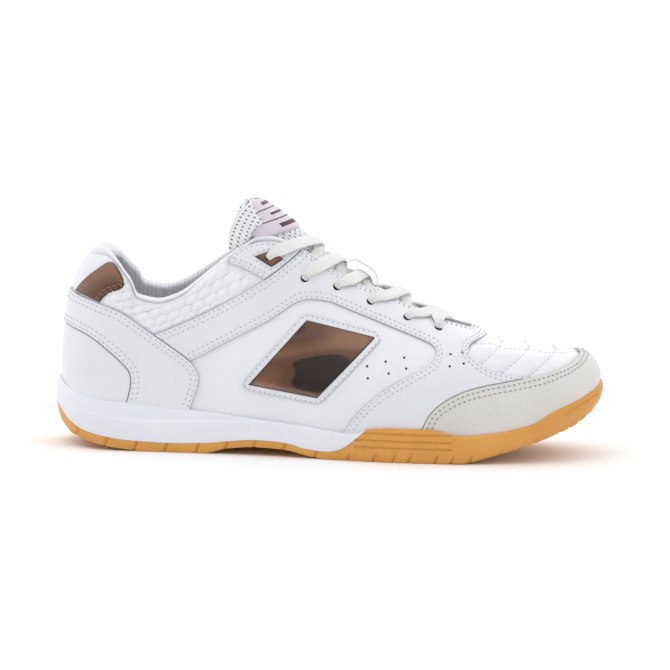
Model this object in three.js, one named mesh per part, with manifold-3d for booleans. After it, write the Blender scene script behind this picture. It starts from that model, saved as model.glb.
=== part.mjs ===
// Indoor soccer shoe, right foot, in millimetres, +Z up, toe towards +X, lateral side towards -Y.
// A cupsole of gum rubber and white foam carries a hollow leather upper that is lofted round the foot.
import * as THREE from "three";
import { mergeVertices } from "three/addons/utils/BufferGeometryUtils.js";
import Module from "manifold-3d";

const wasm = await Module();
wasm.setup();

// Driving dimensions
const shoeLength = 288; // sole, heel to toe
const ballWidth = 101; // sole, across the ball
const collarHeight = 105; // floor to the top of the heel collar
const soleHeight = 26; // floor to the top of the sole's side at the heel
const toeSwing = 6; // how far the toe turns towards the medial side
const lipThickness = 3; // sole's side wall round the upper's lower edge
const leatherWall = 2.2; // upper's wall
const collarPad = 5.5; // what the padding adds to the wall at the collar
const padDepth = 34; // how far down the padding reaches
const padEnd = { from: 0.22, to: 0.37 }; // where the padding fades, as shares of the length
const seatGap = 0.3; // clearance between pieces that touch
const trimSeat = 0.42; // the same under thin trim
const overlayThickness = 1.3; // leather laid on the upper
const trimThickness = 0.7; // patent leather and thin trim
const insoleThickness = 4;
const tongueThickness = 4.5;
const labelThickness = 0.7;
const laceWidth = 7;
const laceThickness = 1.6;
const laceSag = 2.6; // how far a lace dips between the throat's edges
const laceStep = 0.6; // how far a lace stands above the one that it crosses
const laceSagFrom = 0.35; // shares of the way to the throat's middle between which the dip grows
const laceSagTo = 0.85;
const keeperWidth = 9; // leather loop on the tongue, across
const keeperHeight = 6.8; // from the tongue to the loop's underside
const keeperThickness = 1.2;
const grooveWidth = 1.6; // tread grooves
const grooveDepth = 1.8;
const groovePitch = 12.5;
const grooveSpan = { from: 0.035, to: 0.965 }; // where the grooves lie, as shares of the length
const grooveReach = 1.4; // length of a groove, as a share of the ball width
const ribDepth = 0.8; // horizontal grooves in the sole's side
const ribHeight = 1.1;
const ribSpan = { from: 0.585, to: 0.715 }; // where they lie, as shares of the length
const ribLevels = [0.26, 0.4, 0.54]; // and of the sole's height

// How finely the loft is cut
const heelSteps = 6; // stations in the quarter turn round the heel
const sideSteps = 15; // stations along one side, closer together at the collar
const toeSteps = 9; // stations in the quarter turn round the toe
const wallRows = 8; // rows up the wall
const ribSteps = 8; // points along a groove in the sole's side
const laceSteps = 6; // sections along a lace
const tongueRows = 14; // rows up the tongue
const tongueColumns = 10;
const keeperRows = 8; // rows along the lace loop
const bisections = 30; // halvings in a search
const shareStep = 0.01; // step in a share when a slope is measured
const stationStep = 1; // and the same along the shoe
const endMargin = 0.01; // slopes are measured this far inside the ends
const weldDistance = 1e-3; // points closer than this are one

const halfBall = ballWidth / 2;
const laceOffset = 3 * seatGap + overlayThickness + trimThickness; // laces above the form
const beadMargin = 0.035; // height of the bead at the top line, as a share of the form's run
const medialRiseFrom = 0.98; // the medial top line rises below this share of the collar height
const medialRiseRun = 0.2;
const sideCrowding = 1.3; // exponent that draws the side's stations towards the collar
const heelPivot = 0.125 * shoeLength; // the loft turns about this point at the heel
const toePivot = 0.69 * shoeLength; // and about this one at the toe
const heelRoundness = 2.15; // exponents of the outline's round ends
const toeRoundness = 2.25;

const lateral = -1;
const medial = 1;

// Sole outline: half widths as shares of half the ball width, along the straight part
const outlineTable = [
  { along: 0.125, lateral: 0.683, medial: 0.683 },
  { along: 0.21, lateral: 0.693, medial: 0.68 },
  { along: 0.31, lateral: 0.723, medial: 0.63 },
  { along: 0.42, lateral: 0.812, medial: 0.68 },
  { along: 0.52, lateral: 0.92, medial: 0.8 },
  { along: 0.62, lateral: 1.0, medial: 0.92 },
  { along: 0.69, lateral: 1.01, medial: 0.98 },
];

// Sole heights as shares of the sole's height: underside, top of the side wall and footbed
const soleTable = [
  { along: 0.0, under: 0.32, rim: 1.42, bed: 0.74 },
  { along: 0.02, under: 0.28, rim: 1.24, bed: 0.74 },
  { along: 0.045, under: 0.21, rim: 1.08, bed: 0.73 },
  { along: 0.085, under: 0.11, rim: 1.0, bed: 0.72 },
  { along: 0.135, under: 0.03, rim: 0.96, bed: 0.72 },
  { along: 0.17, under: 0.0, rim: 0.93, bed: 0.71 },
  { along: 0.275, under: 0.0, rim: 0.83, bed: 0.67 },
  { along: 0.32, under: 0.11, rim: 0.78, bed: 0.62 },
  { along: 0.37, under: 0.16, rim: 0.72, bed: 0.57 },
  { along: 0.42, under: 0.14, rim: 0.67, bed: 0.51 },
  { along: 0.465, under: 0.04, rim: 0.62, bed: 0.46 },
  { along: 0.495, under: 0.0, rim: 0.57, bed: 0.42 },
  { along: 0.54, under: 0.0, rim: 0.53, bed: 0.39 },
  { along: 0.575, under: 0.0, rim: 0.64, bed: 0.37 },
  { along: 0.61, under: 0.0, rim: 0.67, bed: 0.36 },
  { along: 0.675, under: 0.0, rim: 0.67, bed: 0.35 },
  { along: 0.735, under: 0.01, rim: 0.56, bed: 0.38 },
  { along: 0.785, under: 0.13, rim: 0.61, bed: 0.45 },
  { along: 0.86, under: 0.36, rim: 0.79, bed: 0.6 },
  { along: 0.9, under: 0.51, rim: 1.06, bed: 0.75 },
  { along: 0.94, under: 0.66, rim: 1.24, bed: 0.94 },
  { along: 0.98, under: 0.85, rim: 1.45, bed: 1.15 },
  { along: 1.0, under: 0.95, rim: 1.6, bed: 1.22 },
];

// Line between the foam midsole and the gum outsole, as shares of length and of sole height
const gumLineTable = [
  { along: -0.02, up: 1.0 },
  { along: 0.0, up: 0.9 },
  { along: 0.027, up: 0.57 },
  { along: 0.052, up: 0.39 },
  { along: 0.093, up: 0.28 },
  { along: 0.145, up: 0.205 },
  { along: 0.215, up: 0.18 },
  { along: 0.285, up: 0.21 },
  { along: 0.335, up: 0.275 },
  { along: 0.37, up: 0.305 },
  { along: 0.425, up: 0.275 },
  { along: 0.46, up: 0.18 },
  { along: 0.495, up: 0.15 },
  { along: 0.515, up: 0.19 },
  { along: 0.552, up: 0.48 },
  { along: 0.575, up: 0.75 },
];

// Sections of the foot form, round one side from the heel's back to the toe tip. turn is the angle
// about the heel or toe pivot, in degrees. The four points of a section lie out by a share of the
// outline's reach and up by a share of the collar height; top is the height of the ridge line.
const sectionTable = [
  { along: 0.125, turn: -90, out: [0.99, 0.93, 0.77, 0.46], up: [0.43, 0.62, 0.87, 0.985], top: 1.03 },
  { along: 0.125, turn: -45, out: [1.0, 0.94, 0.8, 0.52], up: [0.42, 0.61, 0.86, 0.985], top: 1.03 },
  { along: 0.125, turn: 0, out: [1.0, 0.945, 0.83, 0.62], up: [0.4, 0.59, 0.81, 0.97], top: 1.07 },
  { along: 0.21, turn: 0, out: [1.0, 0.945, 0.83, 0.66], up: [0.38, 0.57, 0.79, 0.99], top: 1.14 },
  { along: 0.31, turn: 0, out: [1.0, 0.94, 0.83, 0.67], up: [0.36, 0.57, 0.8, 1.03], top: 1.19 },
  { along: 0.42, turn: 0, out: [1.0, 0.94, 0.81, 0.59], up: [0.32, 0.53, 0.77, 1.01], top: 1.12 },
  { along: 0.52, turn: 0, out: [1.0, 0.94, 0.75, 0.45], up: [0.27, 0.45, 0.685, 0.86], top: 0.945 },
  { along: 0.62, turn: 0, out: [1.0, 0.94, 0.73, 0.42], up: [0.23, 0.4, 0.595, 0.735], top: 0.8 },
  { along: 0.69, turn: 0, out: [1.0, 0.945, 0.75, 0.42], up: [0.215, 0.36, 0.53, 0.65], top: 0.7 },
  { along: 0.69, turn: 30, out: [1.0, 0.95, 0.78, 0.42], up: [0.23, 0.365, 0.51, 0.615], top: 0.7 },
  { along: 0.69, turn: 60, out: [1.0, 0.97, 0.84, 0.47], up: [0.3, 0.42, 0.515, 0.575], top: 0.7 },
  { along: 0.69, turn: 90, out: [1.0, 0.965, 0.84, 0.45], up: [0.4, 0.475, 0.525, 0.56], top: 0.7 },
];

// Top line of the upper. up gives a height as a share of the collar height; in gives the half
// width of the throat as a share of half the ball width.
const toplineTable = [
  { along: 0.125, turn: -90, up: 0.99 },
  { along: 0.125, turn: -30, up: 0.99 },
  { along: 0.125, turn: -5, up: 0.93 },
  { along: 0.138, turn: 0, up: 0.86 },
  { along: 0.152, turn: 0, up: 0.785 },
  { along: 0.185, turn: 0, up: 0.765 },
  { along: 0.218, turn: 0, up: 0.787 },
  { along: 0.262, turn: 0, up: 0.875 },
  { along: 0.308, turn: 0, up: 0.98 },
  { along: 0.336, turn: 0, up: 1.033 },
  { along: 0.365, turn: 0, up: 1.073 },
  { along: 0.4, turn: 0, up: 1.07 },
  { along: 0.44, turn: 0, in: 0.36 },
  { along: 0.53, turn: 0, in: 0.32 },
  { along: 0.61, turn: 0, in: 0.285 },
  { along: 0.69, turn: 0, in: 0.265 },
  { along: 0.69, turn: 45, in: 0.275 },
  { along: 0.69, turn: 90, in: 0.3 },
];
const medialCollarRise = 0.035; // the medial collar stands higher, as a share of the collar height

// Seams on the upper, seen from the side: along as a share of shoe length, up of collar height
const heelBandEdge = [
  { along: -0.03, up: 0.79 },
  { along: 0.024, up: 0.772 },
  { along: 0.043, up: 0.752 },
  { along: 0.085, up: 0.714 },
  { along: 0.126, up: 0.67 },
  { along: 0.161, up: 0.608 },
  { along: 0.213, up: 0.517 },
  { along: 0.248, up: 0.45 },
  { along: 0.264, up: 0.394 },
  { along: 0.2655, up: 0.347 },
  { along: 0.259, up: 0.279 },
  { along: 0.246, up: 0.18 },
];
const heelCounterEdge = [
  { along: -0.03, up: 0.62 },
  { along: 0.02, up: 0.6 },
  { along: 0.039, up: 0.586 },
  { along: 0.072, up: 0.548 },
  { along: 0.106, up: 0.48 },
  { along: 0.131, up: 0.419 },
  { along: 0.141, up: 0.385 },
  { along: 0.144, up: 0.336 },
  { along: 0.141, up: 0.28 },
  { along: 0.13, up: 0.18 },
];
const saddleTopEdge = [
  { along: 0.15, up: 0.535 },
  { along: 0.182, up: 0.57 },
  { along: 0.248, up: 0.65 },
  { along: 0.318, up: 0.751 },
  { along: 0.377, up: 0.851 },
  { along: 0.419, up: 0.94 },
  { along: 0.45, up: 1.02 },
];
const windowEdge = [
  { along: 0.2, up: 0.4 },
  { along: 0.248, up: 0.446 },
  { along: 0.318, up: 0.551 },
  { along: 0.388, up: 0.656 },
  { along: 0.433, up: 0.741 },
  { along: 0.457, up: 0.762 },
  { along: 0.492, up: 0.754 },
  { along: 0.52, up: 0.727 },
  { along: 0.596, up: 0.648 },
  { along: 0.653, up: 0.589 },
  { along: 0.68, up: 0.555 },
  { along: 0.686, up: 0.52 },
  { along: 0.678, up: 0.477 },
  { along: 0.657, up: 0.443 },
  { along: 0.626, up: 0.398 },
  { along: 0.588, up: 0.332 },
  { along: 0.557, up: 0.256 },
  { along: 0.538, up: 0.191 },
  { along: 0.52, up: 0.1 },
];
const saddleFrontEdge = [
  { along: 0.785, up: 0.67 },
  { along: 0.78, up: 0.6 },
  { along: 0.751, up: 0.566 },
  { along: 0.745, up: 0.528 },
  { along: 0.76, up: 0.489 },
  { along: 0.781, up: 0.454 },
  { along: 0.822, up: 0.429 },
  { along: 0.87, up: 0.41 },
];
const toeCapEdge = [
  { along: 0.655, up: 0.08 },
  { along: 0.667, up: 0.181 },
  { along: 0.68, up: 0.245 },
  { along: 0.703, up: 0.299 },
  { along: 0.734, up: 0.344 },
  { along: 0.768, up: 0.372 },
  { along: 0.825, up: 0.403 },
  { along: 0.883, up: 0.438 },
  { along: 0.921, up: 0.467 },
  { along: 0.944, up: 0.495 },
  { along: 0.953, up: 0.53 },
  { along: 0.955, up: 0.6 },
];
const patchOutline = [
  { along: 0.03, up: 0.71 },
  { along: 0.036, up: 0.755 },
  { along: 0.044, up: 0.79 },
  { along: 0.057, up: 0.83 },
  { along: 0.075, up: 0.872 },
  { along: 0.1055, up: 0.915 },
  { along: 0.1275, up: 0.807 },
  { along: 0.1, up: 0.766 },
  { along: 0.085, up: 0.722 },
  { along: 0.08, up: 0.66 },
];
const eyeletTabEdge = [
  { along: 0.298, up: 1.1 },
  { along: 0.3055, up: 0.946 },
  { along: 0.34, up: 0.905 },
  { along: 0.3755, up: 0.856 },
];
const diamondOutline = [
  { along: 0.359, up: 0.962 },
  { along: 0.385, up: 0.989 },
  { along: 0.4115, up: 0.953 },
  { along: 0.3895, up: 0.913 },
];
const badgeOutline = [
  { along: 0.355, up: 0.345 },
  { along: 0.478, up: 0.295 },
  { along: 0.578, up: 0.59 },
  { along: 0.455, up: 0.665 },
];

// Tongue: its middle line with the half width, and how far its edges lie below and behind the
// middle. half is a share of half the ball width, fall of the collar height, back of the length.
const tongueTable = [
  { along: 0.77, up: 0.57, half: 0.22, fall: 0.02, back: 0 },
  { along: 0.73, up: 0.62, half: 0.29, fall: 0.035, back: 0 },
  { along: 0.69, up: 0.668, half: 0.32, fall: 0.05, back: 0 },
  { along: 0.625, up: 0.755, half: 0.37, fall: 0.085, back: 0.015 },
  { along: 0.52, up: 0.91, half: 0.4, fall: 0.145, back: 0.05 },
  { along: 0.476, up: 1.0, half: 0.36, fall: 0.155, back: 0.09 },
  { along: 0.448, up: 1.075, half: 0.34, fall: 0.13, back: 0.128 },
  { along: 0.42, up: 1.138, half: 0.35, fall: 0.09, back: 0.11 },
  { along: 0.39, up: 1.193, half: 0.39, fall: 0.05, back: 0.07 },
  { along: 0.361, up: 1.238, half: 0.44, fall: 0.015, back: 0.028 },
];

// Eyelets, from the ankle to the toe, and where the lace from each crosses the tongue's middle
const eyeletTable = [
  { along: 0.3845, up: 0.958, cross: 0.47 },
  { along: 0.449, up: 0.863, cross: 0.511 },
  { along: 0.506, up: 0.821, cross: 0.549 },
  { along: 0.567, up: 0.752, cross: 0.632 },
  { along: 0.633, up: 0.679, cross: 0.69 },
  { along: 0.69, up: 0.63, cross: 0.69 },
];

const clamp01 = (v) => Math.min(1, Math.max(0, v));
const mix = (a, b, share) => a + (b - a) * share;
const smooth = (share) => {
  const s = clamp01(share);
  return s * s * (3 - 2 * s);
};

// A smooth curve through (xs, ys), level at both ends if asked
function curveThrough(xs, ys, levelEnds = false) {
  const slopes = ys.map((y, i) => {
    if (i === 0 || i === ys.length - 1) {
      const [a, b] = i === 0 ? [0, 1] : [i - 1, i];
      return levelEnds ? 0 : (ys[b] - ys[a]) / (xs[b] - xs[a]);
    }
    const before = (y - ys[i - 1]) / (xs[i] - xs[i - 1]);
    const after = (ys[i + 1] - y) / (xs[i + 1] - xs[i]);
    return before * after <= 0 ? 0 : (2 * before * after) / (before + after);
  });
  return (x) => {
    let i = 0;
    while (i < xs.length - 2 && x > xs[i + 1]) i++;
    const width = xs[i + 1] - xs[i];
    const s = clamp01((x - xs[i]) / width);
    const s2 = s * s;
    const s3 = s2 * s;
    return (
      (2 * s3 - 3 * s2 + 1) * ys[i] +
      (s3 - 2 * s2 + s) * width * slopes[i] +
      (3 * s2 - 2 * s3) * ys[i + 1] +
      (s3 - s2) * width * slopes[i + 1]
    );
  };
}

const column = (table, name) => table.map((row) => row[name]);
const alongMm = (table) => column(table, "along").map((share) => share * shoeLength);
const heightCurve = (table, name, unit) =>
  curveThrough(alongMm(table), column(table, name).map((share) => share * unit));

const widthCurve = (name) =>
  curveThrough(alongMm(outlineTable), column(outlineTable, name).map((share) => share * halfBall), true);
const halfWidth = {
  [lateral]: widthCurve("lateral"),
  [medial]: widthCurve("medial"),
};
const underHeight = heightCurve(soleTable, "under", soleHeight);
const rimHeight = heightCurve(soleTable, "rim", soleHeight);
const bedHeight = heightCurve(soleTable, "bed", soleHeight);

// Stations run round one side: along the sole and turning about the pivots at both ends.
// progress is one number for a station, growing from the heel's back to the toe tip.
const heelArc = (Math.PI / 2) * halfWidth[lateral](heelPivot);
const toeArc = (Math.PI / 2) * halfWidth[lateral](toePivot);
const progressOf = (x, turn) => x + (turn < 0 ? (turn / 90) * heelArc : (turn / 90) * toeArc);
function stationAt(progress) {
  if (progress < heelPivot) {
    return { x: heelPivot, turn: ((progress - heelPivot) / heelArc) * 90 };
  }
  if (progress > toePivot) return { x: toePivot, turn: ((progress - toePivot) / toeArc) * 90 };
  return { x: progress, turn: 0 };
}
const firstStation = heelPivot - heelArc;
const lastStation = toePivot + toeArc;

const progressColumn = (table) => table.map((row) => progressOf(row.along * shoeLength, row.turn));
const sectionCurve = (read) => curveThrough(progressColumn(sectionTable), sectionTable.map(read), true);
const sectionOuts = sectionTable[0].out.map((_, i) => sectionCurve((row) => row.out[i]));
const sectionUps = sectionTable[0].up.map((_, i) => sectionCurve((row) => row.up[i]));
const sectionTop = sectionCurve((row) => row.top);

// How far the sole's outline lies from the pivot line at a station
function soleReach(progress, side) {
  const { x, turn } = stationAt(progress);
  if (turn === 0) return halfWidth[side](x);
  const length = turn < 0 ? heelPivot : shoeLength - toePivot;
  const roundness = turn < 0 ? heelRoundness : toeRoundness;
  const width = halfWidth[side](x);
  const angle = (Math.abs(turn) * Math.PI) / 180;
  const sum = (Math.sin(angle) / length) ** roundness + (Math.cos(angle) / width) ** roundness;
  return sum ** (-1 / roundness);
}

// A point at a distance from the pivot line, with the toe swung to the medial side
function placed(progress, side, reach, z) {
  const { x, turn } = stationAt(progress);
  const angle = (turn * Math.PI) / 180;
  const px = x + Math.sin(angle) * reach;
  const swing = toeSwing * clamp01((px - toePivot) / (shoeLength - toePivot)) ** 2;
  return new THREE.Vector3(px, side * Math.cos(angle) * reach + swing, z);
}

// The foot form: share runs from 0 at the footbed to 1 on the ridge line. It passes the points of a
// section at these shares, and meets the footbed a little inside the sole's side wall.
const sectionShares = [0, 0.24, 0.42, 0.66, 0.84, 1];
const footOut = 0.985;
function formCurves(progress, side) {
  const reach = soleReach(progress, side) - lipThickness;
  const mean = (reach + soleReach(progress, -side) - lipThickness) / 2;
  const foot = placed(progress, side, reach, 0);
  const shares = [footOut, ...sectionOuts.map((at) => at(progress)), 0];
  const outs = shares.map((share, i) => share * mix(reach, mean, smooth((i - 1) / 3)));
  const ups = [...sectionUps, sectionTop].map((at) => at(progress) * collarHeight);
  return {
    out: curveThrough(sectionShares, outs),
    up: curveThrough(sectionShares, [bedHeight(foot.x) + seatGap, ...ups]),
  };
}
function formPoint(progress, side, share) {
  const curves = formCurves(progress, side);
  return placed(progress, side, curves.out(share), curves.up(share));
}
function formNormal(progress, side, share) {
  const low = clamp01(share - shareStep);
  const high = clamp01(share + shareStep);
  const before = Math.max(firstStation + endMargin, progress - stationStep);
  const after = Math.min(lastStation - endMargin, progress + stationStep);
  const upward = formPoint(progress, side, high).sub(formPoint(progress, side, low));
  const forward = formPoint(after, side, share).sub(formPoint(before, side, share));
  const normal = side === lateral ? forward.cross(upward) : upward.cross(forward);
  const atEnd = progress <= firstStation + endMargin || progress >= lastStation - endMargin;
  if (atEnd) normal.y = 0;
  return normal.normalize();
}
function formOffset(progress, side, share, offset) {
  const normal = formNormal(progress, side, share);
  return formPoint(progress, side, share).addScaledVector(normal, offset);
}

// The share at which a measure of the form reaches a value
function shareWhere(measure, value) {
  let low = 0;
  let high = 1;
  const rising = measure(1) > measure(0);
  for (let i = 0; i < bisections; i++) {
    const middle = (low + high) / 2;
    if (measure(middle) < value === rising) low = middle;
    else high = middle;
  }
  return low;
}
const toplineShare = {};
for (const side of [lateral, medial]) {
  const shares = toplineTable.map((row) => {
    const curves = formCurves(progressOf(row.along * shoeLength, row.turn), side);
    if (row.in !== undefined) return shareWhere(curves.out, row.in * halfBall);
    const rise = side === medial ? medialCollarRise * smooth((medialRiseFrom - row.up) / medialRiseRun) : 0;
    return shareWhere(curves.up, (row.up + rise) * collarHeight);
  });
  toplineShare[side] = curveThrough(progressColumn(toplineTable), shares, true);
}

// Stations for the whole ring: heel's back, lateral side, toe tip, medial side
function ringStations() {
  const oneSide = [];
  for (let i = 0; i <= heelSteps; i++) oneSide.push(mix(firstStation, heelPivot, i / heelSteps));
  for (let i = 1; i <= sideSteps; i++) {
    oneSide.push(mix(heelPivot, toePivot, (i / sideSteps) ** sideCrowding));
  }
  for (let i = 1; i <= toeSteps; i++) oneSide.push(mix(toePivot, lastStation, i / toeSteps));
  const there = oneSide.map((progress) => ({ progress, side: lateral }));
  const back = oneSide.slice(1, -1).reverse().map((progress) => ({ progress, side: medial }));
  return [...there, ...back];
}

function solidOf(geometry) {
  const bare = geometry.index ? geometry.toNonIndexed() : geometry.clone();
  for (const name of Object.keys(bare.attributes)) {
    if (name !== "position") bare.deleteAttribute(name);
  }
  const merged = mergeVertices(bare, weldDistance);
  const mesh = new wasm.Mesh({
    numProp: 3,
    vertProperties: merged.attributes.position.array,
    triVerts: new Uint32Array(merged.index.array),
  });
  return new wasm.Manifold(mesh);
}
const joined = (solids) => solids.reduce((whole, solid) => whole.add(solid));
function geometryOf(solid) {
  const mesh = solid.getMesh();
  const geometry = new THREE.BufferGeometry();
  const positions = new Float32Array(mesh.numVert * 3);
  for (let i = 0; i < mesh.numVert; i++) {
    for (let j = 0; j < 3; j++) positions[3 * i + j] = mesh.vertProperties[mesh.numProp * i + j];
  }
  geometry.setAttribute("position", new THREE.BufferAttribute(positions, 3));
  geometry.setIndex(new THREE.BufferAttribute(new Uint32Array(mesh.triVerts), 1));
  geometry.computeVertexNormals();
  return geometry;
}
function geometryFromTriangles(triangles) {
  const positions = [];
  const volume = triangles.reduce((sum, [a, b, c]) => sum + a.dot(b.clone().cross(c)), 0);
  for (const [a, b, c] of triangles) {
    const flat = Math.min(a.distanceTo(b), b.distanceTo(c), c.distanceTo(a)) < weldDistance;
    const corners = volume > 0 ? [a, b, c] : [a, c, b];
    if (!flat) for (const p of corners) positions.push(p.x, p.y, p.z);
  }
  const geometry = new THREE.BufferGeometry();
  geometry.setAttribute("position", new THREE.Float32BufferAttribute(positions, 3));
  return geometry;
}

// Two triangles for each cell of a grid of points; closed rings join the last column to the first
function gridTriangles(rows, closed, flip = false) {
  const triangles = [];
  for (let i = 0; i + 1 < rows.length; i++) {
    const count = rows[i].length;
    for (let j = 0; j < (closed ? count : count - 1); j++) {
      const k = (j + 1) % count;
      const [a, b, c, d] = [rows[i][j], rows[i][k], rows[i + 1][k], rows[i + 1][j]];
      triangles.push(flip ? [a, c, b] : [a, b, c], flip ? [a, d, c] : [a, c, d]);
    }
  }
  return triangles;
}

// Closes a ring with a ladder of rungs from the lateral to the medial side
function ladderTriangles(ring, flip) {
  const count = ring.length;
  const triangles = [];
  for (let i = 0; i < count / 2; i++) {
    const [a, b] = [ring[i], ring[i + 1]];
    const [c, d] = [ring[(count - i - 1) % count], ring[(count - i) % count]];
    triangles.push(flip ? [a, c, b] : [a, b, c], flip ? [a, d, c] : [a, c, d]);
  }
  return triangles;
}

const ring = ringStations();

// The foot form as a closed body, grown by an offset
function formSolid(offset) {
  const rows = [];
  for (let i = 0; i <= wallRows; i++) {
    const share = i / wallRows;
    rows.push(ring.map(({ progress, side }) => {
      if (i === wallRows) return formPoint(progress, side, 1).add(new THREE.Vector3(0, 0, offset));
      const point = formOffset(progress, side, share, offset);
      if (i === 0) point.z = formPoint(progress, side, 0).z - offset;
      return point;
    }));
  }
  const triangles = [...gridTriangles(rows, true), ...ladderTriangles(rows[0], true)];
  return solidOf(geometryFromTriangles(triangles));
}

// A side view outline carried straight through the shoe
function prism(points, fromY = -ballWidth, toY = ballWidth) {
  const shape = new THREE.Shape(points.map((p) => new THREE.Vector2(p.x, p.y)));
  const geometry = new THREE.ExtrudeGeometry(shape, { depth: toY - fromY, bevelEnabled: false });
  geometry.rotateX(Math.PI / 2);
  geometry.translate(0, toY, 0);
  return solidOf(geometry);
}
const seamPoints = (table) =>
  table.map((row) => new THREE.Vector2(row.along * shoeLength, row.up * collarHeight));
function seam(table, divisions = 1) {
  const curve = new THREE.SplineCurve(seamPoints(table));
  return curve.getPoints((table.length - 1) * divisions);
}
function shifted(points, gap) {
  return points.map((point, i) => {
    const before = points[Math.max(0, i - 1)];
    const after = points[Math.min(points.length - 1, i + 1)];
    const run = after.clone().sub(before).normalize();
    return point.clone().add(new THREE.Vector2(-run.y, run.x).multiplyScalar(gap));
  });
}
const corner = (along, up) => new THREE.Vector2(along * shoeLength, up * collarHeight);

// Side profile of the sole from its underside to its rim: how far it is tucked in, as a share of
// the tuck under the edge, and its height. The tuck is a share of half the ball width.
const sideProfile = [
  { inward: 1, rise: 0 },
  { inward: 0.45, rise: 0.16 },
  { inward: 0.12, rise: 0.4 },
  { inward: 0, rise: 0.66 },
  { inward: 0.05, rise: 0.86 },
  { inward: 0.3, rise: 1 },
];
const tuckAt = { side: 0.035, heel: 0.14, toe: 0.17 };
function soleProfile(progress, side, grow) {
  const { turn } = stationAt(progress);
  const reach = soleReach(progress, side) + grow;
  const endTuck = turn < 0 ? tuckAt.heel : tuckAt.toe;
  const tuck = mix(tuckAt.side, endTuck, smooth(Math.abs(turn) / 90)) * halfBall;
  return sideProfile.map(({ inward, rise }) => {
    const point = placed(progress, side, reach - inward * tuck, 0);
    point.z = mix(underHeight(point.x), rimHeight(point.x) + grow, rise);
    return point;
  });
}

// The sole's block: a ring of side profiles with its underside and top closed
function soleBlock(grow) {
  const profiles = ring.map(({ progress, side }) => soleProfile(progress, side, grow));
  const rows = profiles[0].map((_, i) => profiles.map((profile) => profile[i]));
  const triangles = [
    ...gridTriangles(rows, true),
    ...ladderTriangles(rows[0], true),
    ...ladderTriangles(rows[rows.length - 1], false),
  ];
  return solidOf(geometryFromTriangles(triangles));
}

// Everything above the gum line, as a prism lifted by a gap. It reaches well over the sole.
const prismTop = 3 * soleHeight;
const prismLean = 0.3 * soleHeight; // how far its front face leans forward
function aboveGumLine(gap) {
  const level = gumLineTable.map((row) => new THREE.Vector2(row.along * shoeLength, row.up * soleHeight));
  const line = shifted(level, gap);
  const last = line[line.length - 1];
  return prism([
    ...line,
    new THREE.Vector2(last.x + prismLean, prismTop),
    new THREE.Vector2(-soleHeight, prismTop),
    new THREE.Vector2(-soleHeight, line[0].y),
  ]);
}

// Tread grooves across the underside and ribs along the side
function treadGrooves() {
  const cuts = [];
  const count = Math.floor(((grooveSpan.to - grooveSpan.from) * shoeLength) / groovePitch);
  for (let i = 1; i <= count; i++) {
    const x = grooveSpan.from * shoeLength + i * groovePitch;
    const fall = underHeight(x - grooveWidth) - underHeight(x + grooveWidth);
    const groove = new THREE.BoxGeometry(grooveWidth, grooveReach * ballWidth, 2 * grooveDepth);
    groove.rotateY(Math.atan(fall / (2 * grooveWidth)));
    groove.translate(x, 0, underHeight(x));
    cuts.push(solidOf(groove));
  }
  return joined(cuts);
}
function sideRibs() {
  const ribs = [];
  for (const up of ribLevels) {
    const rib = (side) => {
      const points = [];
      for (let i = 0; i <= ribSteps; i++) {
        const x = mix(ribSpan.from, ribSpan.to, i / ribSteps) * shoeLength;
        points.push(new THREE.Vector2(x, side * halfWidthAt(x, side)));
      }
      // cut from inside the tucked edge to well outside the sole
      const inner = points.map((p) => new THREE.Vector2(p.x, p.y - side * 2 * ribDepth)).reverse();
      const outer = points.map((p) => new THREE.Vector2(p.x, p.y + side * 3 * ribDepth));
      const outline = side === lateral ? [...outer, ...inner] : [...inner, ...outer].reverse();
      const shape = new THREE.Shape(outline);
      const geometry = new THREE.ExtrudeGeometry(shape, { depth: ribHeight, bevelEnabled: false });
      geometry.translate(0, 0, up * soleHeight);
      return solidOf(geometry);
    };
    ribs.push(rib(lateral), rib(medial));
  }
  return joined(ribs);
}

// Half width of the sole at any length, read off the ring of stations
function halfWidthAt(x, side) {
  let low = firstStation;
  let high = lastStation;
  for (let i = 0; i < bisections; i++) {
    const middle = (low + high) / 2;
    if (placed(middle, side, soleReach(middle, side), 0).x < x) low = middle;
    else high = middle;
  }
  return Math.abs(placed(low, side, soleReach(low, side), 0).y);
}

// The upper's wall thickness, padded below the collar
function wallThickness(progress, side, share) {
  const top = toplineShare[side](progress);
  const height = formPoint(progress, side, top).z - formPoint(progress, side, share).z;
  const forward = smooth((progress / shoeLength - padEnd.from) / (padEnd.to - padEnd.from));
  return leatherWall + collarPad * smooth(1 - height / padDepth) * (1 - forward);
}

// A shell between two offsets of the form, up to the top line. Its rim is a bead whose crest lies
// on the top line.
function shellSolid(inner, outer) {
  const rowsAt = (offset) => {
    const rows = [];
    for (let i = 0; i <= wallRows; i++) {
      rows.push(ring.map(({ progress, side }) => {
        const top = toplineShare[side](progress);
        const share = i === wallRows ? top - beadMargin : (top * i) / wallRows;
        const point = formOffset(progress, side, share, offset(progress, side, share));
        if (i === 0) point.z = formPoint(progress, side, 0).z;
        return point;
      }));
    }
    return rows;
  };
  const outside = rowsAt(outer);
  const inside = rowsAt(inner);
  const crest = ring.map(({ progress, side }) => {
    const share = toplineShare[side](progress) - beadMargin / 3;
    const middle = (outer(progress, side, share) + inner(progress, side, share)) / 2;
    return formOffset(progress, side, share, middle);
  });
  const triangles = [
    ...gridTriangles(outside, true),
    ...gridTriangles([outside[wallRows], crest, inside[wallRows]], true),
    ...gridTriangles(inside, true, true),
    ...gridTriangles([inside[0], outside[0]], true),
  ];
  return solidOf(geometryFromTriangles(triangles));
}

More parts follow.
